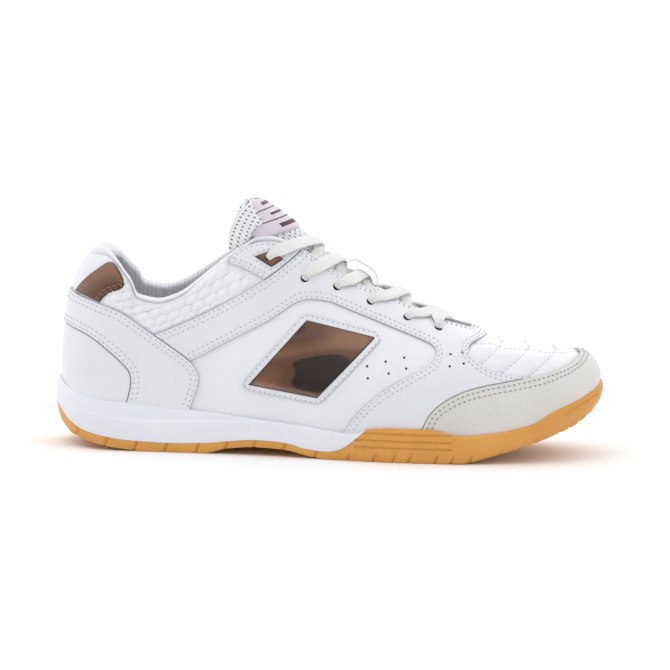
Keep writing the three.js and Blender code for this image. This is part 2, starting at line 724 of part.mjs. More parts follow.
// A closed slab between two grids of points of the same shape
function slabSolid(outside, inside) {
  const edgeOf = (rows) => {
    const last = rows[0].length - 1;
    return [
      ...rows[0],
      ...rows.slice(1, -1).map((row) => row[last]),
      ...[...rows[rows.length - 1]].reverse(),
      ...rows.slice(1, -1).reverse().map((row) => row[0]),
    ];
  };
  const triangles = [
    ...gridTriangles(outside, false),
    ...gridTriangles(inside, false, true),
    ...gridTriangles([edgeOf(inside), edgeOf(outside)], true),
  ];
  return solidOf(geometryFromTriangles(triangles));
}
const gridOf = (rows, columns, pointAt) =>
  Array.from({ length: rows + 1 }, (_, i) =>
    Array.from({ length: columns + 1 }, (_, j) => pointAt(i / rows, j / columns)));

// The tongue's face: run goes from its foot, 0, to its top, 1, and across from -1 to 1
const tongueRun = tongueTable.map((_, i) => i / (tongueTable.length - 1));
const tongueAt = {};
for (const [name, unit] of [["along", shoeLength], ["up", collarHeight], ["half", halfBall],
  ["fall", collarHeight], ["back", shoeLength]]) {
  tongueAt[name] = curveThrough(tongueRun, column(tongueTable, name).map((share) => share * unit));
}
function tonguePoint(run, across) {
  const turn = (across * Math.PI) / 2;
  return new THREE.Vector3(
    tongueAt.along(run) - tongueAt.back(run) * (1 - Math.cos(turn)),
    tongueAt.half(run) * Math.sin(turn),
    tongueAt.up(run) - tongueAt.fall(run) * (1 - Math.cos(turn)),
  );
}
function tongueOffset(run, across, offset) {
  const high = tonguePoint(clamp01(run + shareStep), across);
  const upward = high.sub(tonguePoint(clamp01(run - shareStep), across));
  const sideways = tonguePoint(run, across + shareStep).sub(tonguePoint(run, across - shareStep));
  const normal = sideways.cross(upward).normalize();
  if (normal.z < 0) normal.negate();
  return tonguePoint(run, across).addScaledVector(normal, offset);
}

// The place on the tongue's middle line that lies at a share of the shoe's length
const tongueRunAt = (along) => shareWhere(tongueAt.along, along * shoeLength);

// A patch laid on the tongue's face between two offsets, which may vary over it
function tonguePatch(runs, acrosses, inner, outer, rows, columns) {
  const at = (offset) => (i, j) => {
    const run = mix(runs[0], runs[1], i);
    const across = mix(acrosses[0], acrosses[1], j);
    return tongueOffset(run, across, offset(i, j));
  };
  return slabSolid(gridOf(rows, columns, at(outer)), gridOf(rows, columns, at(inner)));
}

// One flat lace: from an eyelet, over the middle of the throat, to the next one that faces it
function laceSolid(eyelet, side) {
  const path = [];
  const over = side === lateral ? laceStep : 0;
  for (let i = 0; i <= laceSteps; i++) {
    const way = (2 * i) / laceSteps;
    const facing = way > 1;
    const end = facing ? eyelet.next : eyelet;
    const inwards = 1 - Math.abs(1 - way); // 0 at an eyelet, 1 over the throat's middle
    const progress = mix(end.progress, eyelet.cross, inwards);
    const place = [progress, facing ? -side : side, mix(end.share, 1, inwards)];
    const normal = i === laceSteps / 2 ? ridgeNormal(progress) : formNormal(...place);
    const sunk = laceSag * smooth((inwards - laceSagFrom) / (laceSagTo - laceSagFrom));
    path.push({ point: formPoint(...place).addScaledVector(normal, laceOffset + over - sunk), normal });
  }
  const widthways = path.map(({ normal }, i) => {
    const before = path[Math.max(0, i - 1)].point;
    const after = path[Math.min(laceSteps, i + 1)].point;
    return after.clone().sub(before).cross(normal).normalize().multiplyScalar(laceWidth / 2);
  });
  const row = (offset) => path.map(({ point, normal }, i) => {
    const middle = point.clone().addScaledVector(normal, offset);
    return [middle.clone().add(widthways[i]), middle.clone().sub(widthways[i])];
  });
  return slabSolid(row(laceThickness), row(0));
}
function ridgeNormal(progress) {
  const before = formPoint(progress - stationStep, lateral, 1);
  const run = formPoint(progress + stationStep, lateral, 1).sub(before);
  return new THREE.Vector3(-run.z, 0, run.x).normalize();
}

const leather = { color: 0xf2f2f4, roughness: 0.5, metalness: 0 };
const finishes = {
  gum: { color: 0xd9943f, roughness: 0.55, metalness: 0 },
  foam: { color: 0xf4f4f8, roughness: 0.55, metalness: 0 },
  leather,
  mesh: { color: 0xf3f3f6, roughness: 0.85, metalness: 0 },
  suede: { color: 0xe6e4df, roughness: 0.95, metalness: 0 },
  patent: { color: 0x6e4530, roughness: 0.12, metalness: 0.6 },
  footbed: { color: 0xe9eaec, roughness: 0.9, metalness: 0 },
  label: { color: 0xe8e2ee, roughness: 0.6, metalness: 0 },
  lace: { color: 0xfafafa, roughness: 0.85, metalness: 0 },
};

const shoe = new THREE.Group();
function addPiece(name, solid, finish) {
  const mesh = new THREE.Mesh(geometryOf(solid), new THREE.MeshStandardMaterial(finishes[finish]));
  mesh.name = name;
  shoe.add(mesh);
}

// Sole unit
const cup = soleBlock(0).subtract(formSolid(seatGap));
addPiece("midsole", cup.intersect(aboveGumLine(seatGap)), "foam");
addPiece("outsole", cup.subtract(aboveGumLine(0)).subtract(treadGrooves()).subtract(sideRibs()), "gum");

// Upper, and the insole that lies in it on the sole
const upper = shellSolid((...place) => -wallThickness(...place), () => 0);
addPiece("upper", upper, "leather");
const insoleRing = (rise) => ring.map(({ progress, side }) => {
  const point = formOffset(progress, side, 0, -leatherWall - seatGap);
  point.z = formPoint(progress, side, 0).z + rise;
  return point;
});
const insoleRows = [insoleRing(0), insoleRing(insoleThickness)];
const insoleTriangles = [
  ...gridTriangles(insoleRows, true),
  ...ladderTriangles(insoleRows[0], true),
  ...ladderTriangles(insoleRows[1], false),
];
addPiece("insole", solidOf(geometryFromTriangles(insoleTriangles)), "footbed");

// Tongue with its label and the loop that holds the laces
const tongueThinning = 0.75; // share of its thickness that the tongue loses at its edges
const tongueBack = (i, j) => -tongueThickness * (1 - tongueThinning * (2 * j - 1) ** 2);
addPiece("tongue", tonguePatch([0, 1], [-1, 1], tongueBack, () => 0, tongueRows, tongueColumns), "mesh");
const labelRows = 4; // of the tongue's own rows, down from its top
const labelColumns = 6;
const labelSpan = labelColumns / tongueColumns;
const labelFace = () => trimSeat + labelThickness;
const labelRuns = [1 - labelRows / tongueRows, 1];
const labelAcross = [-labelSpan, labelSpan];
const labelSolid = tonguePatch(labelRuns, labelAcross, () => trimSeat, labelFace, labelRows, labelColumns);
addPiece("tongue_label", labelSolid, "label");
const keeperSpan = { from: 0.58, to: 0.518 }; // along the shoe, as shares of its length
const keeperRuns = [tongueRunAt(keeperSpan.from), tongueRunAt(keeperSpan.to)];
const keeperHalf = (2 / Math.PI) * Math.asin(keeperWidth / (2 * tongueAt.half(keeperRuns[1])));
const keeperSquareness = 4; // exponent of the loop's arch
const arch = (i) => seatGap + keeperHeight * (1 - (2 * i - 1) ** keeperSquareness);
const archTop = (i) => arch(i) + keeperThickness;
const keeperSolid = tonguePatch(keeperRuns, [-keeperHalf, keeperHalf], arch, archTop, keeperRows, 2);
addPiece("lace_keeper", keeperSolid, "leather");

// Leather laid on the upper, cut by its seams; it stops just above the sole's side wall
const overlayShell = shellSolid(() => seatGap, () => seatGap + overlayThickness)
  .subtract(soleBlock(seatGap));
const below = -0.1; // corners past the shoe, as shares of its length and of the collar height
const above = 1.4;
const ahead = 1.1;
const heelSide = [corner(below, below)];
// Where the regions' straight sides lie, off the seams, as shares of length and of collar height
const sideAt = {
  counter: 0.13,
  band: 0.24,
  cap: 0.655,
  capTop: 0.6,
  windowFront: 0.52,
  windowTop: 0.36,
  strap: 0.15,
  throat: 0.5,
  bridge: 0.785,
  bridgeFoot: 0.87,
  tabFront: 0.38,
  tabTop: 0.47,
  tabBack: 0.298,
};
const counterRegion = (gap) =>
  prism([...shifted(seam(heelCounterEdge), gap), corner(sideAt.counter, below), ...heelSide]);
const heelBandRegion = (gap) =>
  prism([...shifted(seam(heelBandEdge), gap), corner(sideAt.band, below), ...heelSide]);
const toeCapRegion = (gap) => prism([
  ...shifted(seam(toeCapEdge), gap),
  corner(ahead, sideAt.capTop),
  corner(ahead, below),
  corner(sideAt.cap, below),
]);
const windowRegion = prism([
  ...seam(windowEdge),
  corner(sideAt.windowFront, below),
  corner(sideAt.strap, below),
  corner(sideAt.strap, sideAt.windowTop),
]);
const saddleRegion = prism([
  ...seam(saddleTopEdge),
  corner(sideAt.throat, above),
  corner(sideAt.bridge, above),
  ...seam(saddleFrontEdge),
  corner(sideAt.bridgeFoot, below),
  corner(sideAt.strap, below),
]);
const eyeletTabRegion = prism([
  ...seam(eyeletTabEdge),
  ...shifted(seam(saddleTopEdge).filter((p) => p.x > sideAt.tabFront * shoeLength), seatGap),
  corner(sideAt.tabTop, above),
  corner(sideAt.tabBack, above),
]);
const sideHalf = (side) => prism(
  [corner(below, below), corner(ahead, below), corner(ahead, above), corner(below, above)],
  side === lateral ? -ballWidth : seatGap,
  side === lateral ? -seatGap : ballWidth,
);
addPiece("heel_counter", overlayShell.intersect(counterRegion(0)), "leather");
const heelBand = overlayShell.intersect(heelBandRegion(0)).subtract(counterRegion(seatGap));
addPiece("heel_band", heelBand, "leather");
addPiece("toe_cap", overlayShell.intersect(toeCapRegion(0)), "suede");
const saddle = overlayShell.intersect(saddleRegion)
  .subtract(windowRegion).subtract(heelBandRegion(seatGap)).subtract(toeCapRegion(seatGap));
addPiece("saddle", saddle, "leather");

const trimShell = (inner) => shellSolid(() => inner, () => inner + trimThickness);
const patchShell = trimShell(trimSeat)
  .intersect(prism(seam(patchOutline))).subtract(heelBandRegion(seatGap));
const diamondShell = trimShell(2 * seatGap + overlayThickness).intersect(prism(seam(diamondOutline)));
for (const [side, name] of [[lateral, "lateral"], [medial, "medial"]]) {
  const tab = overlayShell.intersect(eyeletTabRegion).intersect(sideHalf(side));
  addPiece(`eyelet_tab_${name}`, tab, "leather");
  addPiece(`eyelet_diamond_${name}`, diamondShell.intersect(sideHalf(side)), "patent");
  addPiece(`collar_patch_${name}`, patchShell.intersect(sideHalf(side)), "patent");
}
const badgeShell = trimShell(trimSeat).intersect(prism(seam(badgeOutline)));
addPiece("side_badge", badgeShell.intersect(sideHalf(lateral)), "patent");

// Laces: a bar at the last pair of eyelets, and from each other eyelet one lace over the throat
const eyelets = eyeletTable.map((row) => {
  const progress = Math.min(row.along * shoeLength, toePivot);
  const share = shareWhere(formCurves(progress, lateral).up, row.up * collarHeight);
  return { progress, share, cross: row.cross * shoeLength };
});
eyelets.forEach((eyelet, i) => {
  eyelet.next = eyelets[i + 1] ?? eyelet;
});
const laces = [laceSolid(eyelets.pop(), lateral)];
for (const eyelet of eyelets) {
  for (const side of [lateral, medial]) laces.push(laceSolid(eyelet, side));
}
addPiece("laces", joined(laces), "lace");

// The origin is in the middle of the outline, on the floor
const bounds = new THREE.Box3().setFromObject(shoe);
const centre = bounds.getCenter(new THREE.Vector3());
shoe.position.set(-centre.x, -centre.y, -bounds.min.z);

export default shoe;
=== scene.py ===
# Indoor soccer shoe, right foot: the fine model, its materials, light and camera over the packed
# frame. Shapes are worked out in millimetres and written to the meshes in metres.
import math
import bpy
import numpy as np
from mathutils import Matrix, Vector
from mathutils.geometry import delaunay_2d_cdt


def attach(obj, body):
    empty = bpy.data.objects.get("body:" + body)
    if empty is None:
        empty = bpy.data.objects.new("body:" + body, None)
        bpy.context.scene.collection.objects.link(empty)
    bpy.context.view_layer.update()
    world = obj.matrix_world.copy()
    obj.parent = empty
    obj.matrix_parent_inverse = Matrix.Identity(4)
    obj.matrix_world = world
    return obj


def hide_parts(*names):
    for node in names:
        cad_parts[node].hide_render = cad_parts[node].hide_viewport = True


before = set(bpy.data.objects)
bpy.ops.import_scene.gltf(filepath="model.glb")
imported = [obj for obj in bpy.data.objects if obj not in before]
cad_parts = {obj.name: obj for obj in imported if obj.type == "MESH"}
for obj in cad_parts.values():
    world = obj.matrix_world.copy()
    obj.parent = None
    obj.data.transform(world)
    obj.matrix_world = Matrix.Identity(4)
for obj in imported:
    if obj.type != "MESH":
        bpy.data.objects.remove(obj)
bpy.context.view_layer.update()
scene = bpy.context.scene
halfPi = math.pi / 2

# The foot form and the sole, as the solids have them
form = {
    "length": 288.0,
    "halfBall": 50.5,
    "collar": 105.0,
    "soleHeight": 26.0,
    "toeSwing": 6.0,
    "lip": 3.0,  # sole's side wall round the upper
    "wall": 2.2,  # upper's wall
    "pad": 5.5,  # what the collar's padding adds
    "padDepth": 34.0,
    "heelPivot": 36.0,
    "toePivot": 198.72,
    "overlay": 1.3,  # saddle leather's face above the form
    "counterHeight": 0.75,  # the counter lies under the band
    "bandHeight": 1.7,
    "capHeight": 1.5,
    "middle": (-144.0, 0.757, 0.0),  # from the drawing's corner to the frame's origin
}
outline = [  # along, lateral and medial half widths
    (0.125, 0.683, 0.683), (0.21, 0.693, 0.68), (0.31, 0.723, 0.63), (0.42, 0.812, 0.68),
    (0.52, 0.92, 0.8), (0.62, 1.0, 0.92), (0.69, 1.01, 0.98),
]
soleLevels = [  # along, underside, top of the side wall, footbed
    (0.0, 0.32, 1.42, 0.74), (0.02, 0.28, 1.24, 0.74), (0.045, 0.21, 1.08, 0.73),
    (0.085, 0.11, 1.0, 0.72), (0.135, 0.03, 0.96, 0.72), (0.17, 0.0, 0.93, 0.71),
    (0.275, 0.0, 0.83, 0.67), (0.32, 0.11, 0.78, 0.62), (0.37, 0.16, 0.72, 0.57),
    (0.42, 0.14, 0.67, 0.51), (0.465, 0.04, 0.62, 0.46), (0.495, 0.0, 0.57, 0.42),
    (0.54, 0.0, 0.53, 0.39), (0.575, 0.0, 0.64, 0.37), (0.61, 0.0, 0.67, 0.36),
    (0.675, 0.0, 0.67, 0.35), (0.735, 0.01, 0.56, 0.38), (0.785, 0.13, 0.61, 0.45),
    (0.86, 0.36, 0.79, 0.6), (0.9, 0.51, 1.06, 0.75), (0.94, 0.66, 1.24, 0.94),
    (0.98, 0.85, 1.45, 1.15), (1.0, 0.95, 1.6, 1.22),
]
gumLevels = [
    (-0.02, 1.0), (0.0, 0.9), (0.027, 0.57), (0.052, 0.39), (0.093, 0.28), (0.145, 0.205),
    (0.215, 0.18), (0.285, 0.21), (0.335, 0.275), (0.37, 0.305), (0.425, 0.275), (0.46, 0.18),
    (0.495, 0.15), (0.515, 0.19), (0.552, 0.48), (0.575, 0.75),
]
sections = [  # along, turn in degrees, then out1, up1, out2, up2, out3, up3, out4, up4, top
    (0.125, -90, 0.99, 0.43, 0.93, 0.62, 0.77, 0.87, 0.46, 0.985, 1.03),
    (0.125, -45, 1.0, 0.42, 0.94, 0.61, 0.8, 0.86, 0.52, 0.985, 1.03),
    (0.125, 0, 1.0, 0.4, 0.945, 0.59, 0.83, 0.81, 0.62, 0.97, 1.07),
    (0.21, 0, 1.0, 0.38, 0.945, 0.57, 0.83, 0.79, 0.66, 0.99, 1.14),
    (0.31, 0, 1.0, 0.36, 0.94, 0.57, 0.83, 0.8, 0.67, 1.03, 1.19),
    (0.42, 0, 1.0, 0.32, 0.94, 0.53, 0.81, 0.77, 0.59, 1.01, 1.12),
    (0.52, 0, 1.0, 0.27, 0.94, 0.45, 0.75, 0.685, 0.45, 0.86, 0.945),
    (0.62, 0, 1.0, 0.23, 0.94, 0.4, 0.73, 0.595, 0.42, 0.735, 0.8),
    (0.69, 0, 1.0, 0.215, 0.945, 0.36, 0.75, 0.53, 0.42, 0.65, 0.7),
    (0.69, 30, 1.0, 0.23, 0.95, 0.365, 0.78, 0.51, 0.42, 0.615, 0.7),
    (0.69, 60, 1.0, 0.3, 0.97, 0.42, 0.84, 0.515, 0.47, 0.575, 0.7),
    (0.69, 90, 1.0, 0.4, 0.965, 0.475, 0.84, 0.525, 0.45, 0.56, 0.7),
]
collarLine = [  # along, turn, then a height (up) or the throat's half width (in)
    (0.125, -90, "up", 0.99), (0.125, -30, "up", 0.99), (0.125, -5, "up", 0.93),
    (0.138, 0, "up", 0.86), (0.152, 0, "up", 0.785), (0.185, 0, "up", 0.765),
    (0.218, 0, "up", 0.787), (0.262, 0, "up", 0.875), (0.308, 0, "up", 0.98),
    (0.336, 0, "up", 1.033), (0.365, 0, "up", 1.073), (0.4, 0, "up", 1.07),
    (0.44, 0, "in", 0.36), (0.53, 0, "in", 0.32), (0.61, 0, "in", 0.285), (0.69, 0, "in", 0.265),
    (0.69, 45, "in", 0.275), (0.69, 90, "in", 0.3),
]
medialRise = 0.035  # the medial collar stands this much higher

# Seams seen from the side: along as a share of the length, up of the collar's height
seams = {
    "heelBand": [(-0.03, 0.79), (0.024, 0.772), (0.043, 0.752), (0.085, 0.714), (0.126, 0.67),
        (0.161, 0.608), (0.213, 0.517), (0.248, 0.45), (0.264, 0.394), (0.2655, 0.347),
        (0.259, 0.279), (0.246, 0.18)],
    "counter": [(-0.03, 0.62), (0.02, 0.6), (0.039, 0.586), (0.072, 0.548), (0.106, 0.48),
        (0.131, 0.419), (0.141, 0.385), (0.144, 0.336), (0.141, 0.28), (0.13, 0.18)],
    "saddleTop": [(0.15, 0.535), (0.182, 0.57), (0.248, 0.65), (0.318, 0.751), (0.377, 0.851),
        (0.419, 0.94), (0.45, 1.02)],
    "window": [(0.2, 0.4), (0.248, 0.446), (0.318, 0.551), (0.388, 0.656), (0.433, 0.741),
        (0.457, 0.762), (0.492, 0.754), (0.52, 0.727), (0.596, 0.648), (0.653, 0.589),
        (0.68, 0.555), (0.686, 0.52), (0.678, 0.477), (0.657, 0.443), (0.626, 0.398),
        (0.588, 0.332), (0.557, 0.256), (0.538, 0.191), (0.52, 0.1)],
    "saddleFront": [(0.785, 0.67), (0.78, 0.6), (0.751, 0.566), (0.745, 0.528), (0.76, 0.489),
        (0.781, 0.454), (0.822, 0.429), (0.87, 0.41), (0.9, 0.40)],
    "toeCap": [(0.655, 0.08), (0.667, 0.181), (0.68, 0.245), (0.703, 0.299), (0.734, 0.344),
        (0.768, 0.372), (0.825, 0.403), (0.883, 0.438), (0.921, 0.467), (0.944, 0.495),
        (0.953, 0.53), (0.955, 0.6)],
    "collarPatch": [(0.03, 0.71), (0.036, 0.755), (0.044, 0.79), (0.057, 0.83), (0.075, 0.872),
        (0.1055, 0.915), (0.1275, 0.807), (0.1, 0.766), (0.085, 0.722), (0.08, 0.66)],
    "eyeletTab": [(0.298, 1.1), (0.3055, 0.946), (0.34, 0.905), (0.3755, 0.856)],
    "diamond": [(0.359, 0.962), (0.385, 0.989), (0.4115, 0.953), (0.3895, 0.913)],
    "badge": [(0.355, 0.345), (0.478, 0.295), (0.578, 0.59), (0.455, 0.665)],
    "collarRoll": [(0.16, 0.75), (0.225, 0.791), (0.281, 0.886), (0.308, 0.942), (0.335, 1.004),
        (0.363, 1.031), (0.392, 1.033), (0.4135, 1.02)],
}


def slopesOf(xs, ys, level):
    rise = np.diff(ys, axis=-1) / np.diff(xs)
    before, after = rise[..., :-1], rise[..., 1:]
    alike = before * after > 0
    inner = np.where(alike, 2 * before * after / np.where(alike, before + after, 1), 0)
    ends = [rise[..., :1], rise[..., -1:]]
    if level:
        ends = [0 * end for end in ends]
    return np.concatenate([ends[0], inner, ends[1]], axis=-1)


def hermite(xs, ys, slopes, x):
    # one curve for all x, or one row of knots for each x
    i = np.searchsorted(xs[1:-1], x, side="left")

    def pick(values, k):
        return values[k] if values.ndim == 1 else np.take_along_axis(values, k[:, None], 1)[:, 0]

    width = xs[i + 1] - xs[i]
    s = np.clip((x - xs[i]) / width, 0, 1)
    return (
        (2 * s**3 - 3 * s**2 + 1) * pick(ys, i)
        + (s**3 - 2 * s**2 + s) * width * pick(slopes, i)
        + (3 * s**2 - 2 * s**3) * pick(ys, i + 1)
        + (s**3 - s**2) * width * pick(slopes, i + 1)
    )


def curveThrough(xs, ys, level=False):
    xs, ys = np.array(xs, float), np.array(ys, float)
    slopes = slopesOf(xs, ys, level)
    return lambda x: hermite(xs, ys, slopes, np.asarray(x, float))


def smooth(share):
    s = np.clip(share, 0, 1)
    return s * s * (3 - 2 * s)


def unit(vectors):
    return vectors / np.maximum(np.linalg.norm(vectors, axis=-1, keepdims=True), 1e-9)


def column(table, k, scale=1.0):
    return np.array([row[k] for row in table], float) * scale


lateralHalf = curveThrough(column(outline, 0, form["length"]), column(outline, 1, form["halfBall"]), True)
medialHalf = curveThrough(column(outline, 0, form["length"]), column(outline, 2, form["halfBall"]), True)
soleXs = column(soleLevels, 0, form["length"])
underHeight = curveThrough(soleXs, column(soleLevels, 1, form["soleHeight"]))
rimHeight = curveThrough(soleXs, column(soleLevels, 2, form["soleHeight"]))
bedHeight = curveThrough(soleXs, column(soleLevels, 3, form["soleHeight"]))
gumHeight = curveThrough(column(gumLevels, 0, form["length"]), column(gumLevels, 1, form["soleHeight"]))

heelArc = halfPi * float(lateralHalf(form["heelPivot"]))
toeArc = halfPi * float(lateralHalf(form["toePivot"]))
first = form["heelPivot"] - heelArc
last = form["toePivot"] + toeArc
ringHalf = last - first  # a place round the shoe runs 0 at the heel's back to this at the toe tip


def progressOf(along, turn):
    arc = heelArc if turn < 0 else toeArc
    return along * form["length"] + turn / 90 * arc


sectionAt = [
    curveThrough([progressOf(row[0], row[1]) for row in sections], column(sections, k), True)
    for k in range(2, 11)
]


def stationAt(progress):
    x = np.clip(progress, form["heelPivot"], form["toePivot"])
    turn = np.where(progress < x, (progress - x) / heelArc, (progress - x) / toeArc) * halfPi
    return x, turn


def soleReach(progress, side):
    x, turn = stationAt(progress)
    width = np.where(side < 0, lateralHalf(x), medialHalf(x))
    length = np.where(turn < 0, form["heelPivot"], form["length"] - form["toePivot"])
    roundness = np.where(turn < 0, 2.15, 2.25)
    angle = np.abs(turn)
    across = np.maximum(np.cos(angle), 0)
    return ((np.sin(angle) / length) ** roundness + (across / width) ** roundness) ** (-1 / roundness)


def placed(progress, side, reach, z):
    x, turn = stationAt(progress)
    px = x + np.sin(turn) * reach
    toe = np.clip((px - form["toePivot"]) / (form["length"] - form["toePivot"]), 0, 1)
    py = side * np.cos(turn) * reach + form["toeSwing"] * toe**2
    return np.stack([px, py, np.broadcast_to(z, px.shape)], axis=-1)


formSteps = np.array([0, 0.24, 0.42, 0.66, 0.84, 1])


def formRows(progress, side):
    reach = soleReach(progress, side) - form["lip"]
    mean = (reach + soleReach(progress, -side) - form["lip"]) / 2
    footX = placed(progress, side, reach, 0.0)[:, 0]
    out1, up1, out2, up2, out3, up3, out4, up4, top = [at(progress) for at in sectionAt]
    outs = []
    for k, share in enumerate([0.985 + 0 * out1, out1, out2, out3, out4, 0 * out1]):
        blend = smooth((k - 1) / 3)
        outs.append(share * (reach + (mean - reach) * blend))
    ups = [bedHeight(footX) + 0.3] + [up * form["collar"] for up in (up1, up2, up3, up4, top)]
    return np.stack(outs, 1), np.stack(ups, 1)


def formPoint(progress, side, share):
    outs, ups = formRows(progress, side)
    out = hermite(formSteps, outs, slopesOf(formSteps, outs, False), share)
    up = hermite(formSteps, ups, slopesOf(formSteps, ups, False), share)
    return placed(progress, side, out, up)


# A place on the form: around runs 0 at the heel's back, over the lateral side, to ringHalf at the
# toe tip and on over the medial side; share runs 0 at the footbed to 1 on the ridge.
def turnedOf(around):
    # the same place counted from the heel's back: positive on the lateral side, negative on the medial
    return (np.asarray(around, float) + ringHalf) % (2 * ringHalf) - ringHalf


def sideOf(around):
    turned = turnedOf(around)
    return first + np.abs(turned), np.where(turned >= 0, -1.0, 1.0)


def bare(around, share):
    around, share = np.broadcast_arrays(np.asarray(around, float), np.asarray(share, float))
    flat = formPoint(*sideOf(around.ravel()), share.ravel())
    return flat.reshape(around.shape + (3,))


def partials(around, share):
    low, high = np.clip(share - 0.006, 0, 0.994), np.clip(share + 0.006, 0.006, 1)
    alongRing = bare(around + 0.6, share) - bare(around - 0.6, share)
    upward = bare(around, high) - bare(around, low)
    return alongRing / 1.2, upward / (high - low)[..., None]


def normalAt(around, share):
    around, share = np.broadcast_arrays(np.asarray(around, float), np.asarray(share, float))
    alongRing, upward = partials(around, np.minimum(share, 0.985))
    return unit(np.cross(alongRing, upward))


def onForm(around, share, lift=0.0):
    return bare(around, share) + normalAt(around, share) * np.broadcast_to(lift, np.shape(around))[..., None]


def shareWhere(measure, value, size):
    low, high = np.zeros(size), np.ones(size)
    rising = measure(high) > measure(low)
    for _ in range(28):
        middle = (low + high) / 2
        under = (measure(middle) < value) == rising
        low, high = np.where(under, middle, low), np.where(under, high, middle)
    return low


def collarShares(side):
    shares = []
    for along, turn, kind, value in collarLine:
        progress = np.array([progressOf(along, turn)])
        outs, ups = formRows(progress, np.array([side]))
        if kind == "in":
            rows, goal = outs, value * form["halfBall"]
        else:
            rise = medialRise * float(smooth((0.98 - value) / 0.2)) if side > 0 else 0
            rows, goal = ups, (value + rise) * form["collar"]
        slopes = slopesOf(formSteps, rows, False)
        shares.append(shareWhere(lambda s: hermite(formSteps, rows, slopes, s), goal, 1)[0])
    return curveThrough([progressOf(row[0], row[1]) for row in collarLine], shares, True)


lateralCollar, medialCollar = collarShares(-1.0), collarShares(1.0)


def topShare(around):
    progress, side = sideOf(around)
    return np.where(side < 0, lateralCollar(progress), medialCollar(progress))


def wallAt(around, share):
    progress, _ = sideOf(around)
    height = bare(around, topShare(around))[..., 2] - bare(around, share)[..., 2]
    padded = smooth(1 - height / form["padDepth"]) * (1 - smooth((progress / form["length"] - 0.22) / 0.15))
    return form["wall"] + form["pad"] * padded


def rimShare(around, drop):
    # where the sole's side wall ends on the form, a drop below its top
    progress, side = sideOf(around)
    edge = placed(progress, side, soleReach(progress, side) - form["lip"], 0.0)
    level = rimHeight(edge[:, 0]) - drop
    return shareWhere(lambda s: bare(around, s)[:, 2], level, len(progress))


print("form ready: half ring", round(ringHalf, 1), "mm")

# Seam lines: drawn in the side view, then carried to places on the form
def drawn(points, spacing=1.2):
    # a smooth line through the points, in millimetres
    knots = np.array(points, float)
    knots = np.vstack([2 * knots[0] - knots[1], knots, 2 * knots[-1] - knots[-2]])
    line = []
    for k in range(1, len(knots) - 2):
        a, b, c, d = knots[k - 1 : k + 3]
        steps = max(2, int(np.linalg.norm(c - b) / spacing))
        t = (np.arange(steps) / steps)[:, None]
        bend = (2 * a - 5 * b + 4 * c - d) * t**2 + (3 * b - a - 3 * c + d) * t**3
        line.append(0.5 * (2 * b + (c - a) * t + bend))
    return np.vstack(line + [knots[-2:-1]])


def seamLine(name):
    return drawn(np.array(seams[name]) * [form["length"], form["collar"]])


def meeting(lineA, lineB):
    # the place where line A first meets line B: segment number and the point
    for i in range(len(lineA) - 1):
        p, r = lineA[i], lineA[i + 1] - lineA[i]
        q, s = lineB[:-1], np.diff(lineB, axis=0)
        cross = r[0] * s[:, 1] - r[1] * s[:, 0]
        cross = np.where(np.abs(cross) < 1e-9, 1e-9, cross)
        t = ((q - p)[:, 0] * s[:, 1] - (q - p)[:, 1] * s[:, 0]) / cross
        u = ((q - p)[:, 0] * r[1] - (q - p)[:, 1] * r[0]) / cross
        hits = (t >= 0) & (t <= 1) & (u >= 0) & (u <= 1)
        if hits.any():
            return i, p + r * t[hits].min()
    raise ValueError("these seam lines do not meet")


def upTo(line, other):
    i, point = meeting(line, other)
    return np.vstack([line[: i + 1], point])


def fromOn(line, other):
    i, point = meeting(line, other)
    return np.vstack([point, line[i + 1 :]])


def straightSides(name, count):
    # a closed outline whose corners stay sharp
    corners = np.array(seams[name] + seams[name][:1]) * [form["length"], form["collar"]]
    edges = [np.linspace(a, b, count)[:-1] for a, b in zip(corners[:-1], corners[1:])]
    return np.vstack(edges + [corners[-1:]])


gridAround = np.linspace(0, ringHalf, 240)
gridShare = np.linspace(0, 1, 80)
gridPlaces = {
    side: bare(*np.meshgrid(-side * gridAround, gridShare, indexing="ij"))[..., [0, 2]]
    for side in (-1, 1)
}


def onSide(line, side, tolerance=0.5):
    # places on the form that lie at these side view points; the rest are dropped
    near = ((gridPlaces[side][None] - line[:, None, None]) ** 2).sum(-1).reshape(len(line), -1).argmin(1)
    around = gridAround[near // len(gridShare)].copy()
    share = gridShare[near % len(gridShare)].copy()
    for _ in range(7):
        here = bare(-side * around, share)[:, [0, 2]]
        a = (bare(-side * (around + 0.3), share)[:, [0, 2]] - here) / 0.3
        b = (bare(-side * around, np.minimum(share + 0.004, 1.0))[:, [0, 2]] - here) / 0.004
        miss = line - here
        # least squares with a little damping
        aa, bb, ab = (a * a).sum(1) + 1e-3, (b * b).sum(1) + 1e-1, (a * b).sum(1)
        am, bm = (a * miss).sum(1), (b * miss).sum(1)
        det = aa * bb - ab * ab
        around = np.clip(around + np.clip((am * bb - bm * ab) / det, -6, 6), 0, ringHalf)
        share = np.clip(share + np.clip((bm * aa - am * ab) / det, -0.06, 0.06), 0, 0.999)
    miss = np.linalg.norm(bare(-side * around, share)[:, [0, 2]] - line, axis=1)
    good = miss < tolerance
    # a medial place is a negative number, or one past the toe tip
    return np.stack([-side * around[good], share[good]], 1)


def pastToe(places):
    return np.stack([places[:, 0] % (2 * ringHalf), places[:, 1]], 1)


def spaced(places, spacing=1.25):
    # the same line with even steps in real millimetres
    points = bare(places[:, 0], places[:, 1])
    run = np.concatenate([[0], np.cumsum(np.linalg.norm(np.diff(points, axis=0), axis=1))])
    steps = max(2, int(round(run[-1] / spacing)))
    at = np.linspace(0, run[-1], steps + 1)
    return np.stack([np.interp(at, run, places[:, 0]), np.interp(at, run, places[:, 1])], 1)


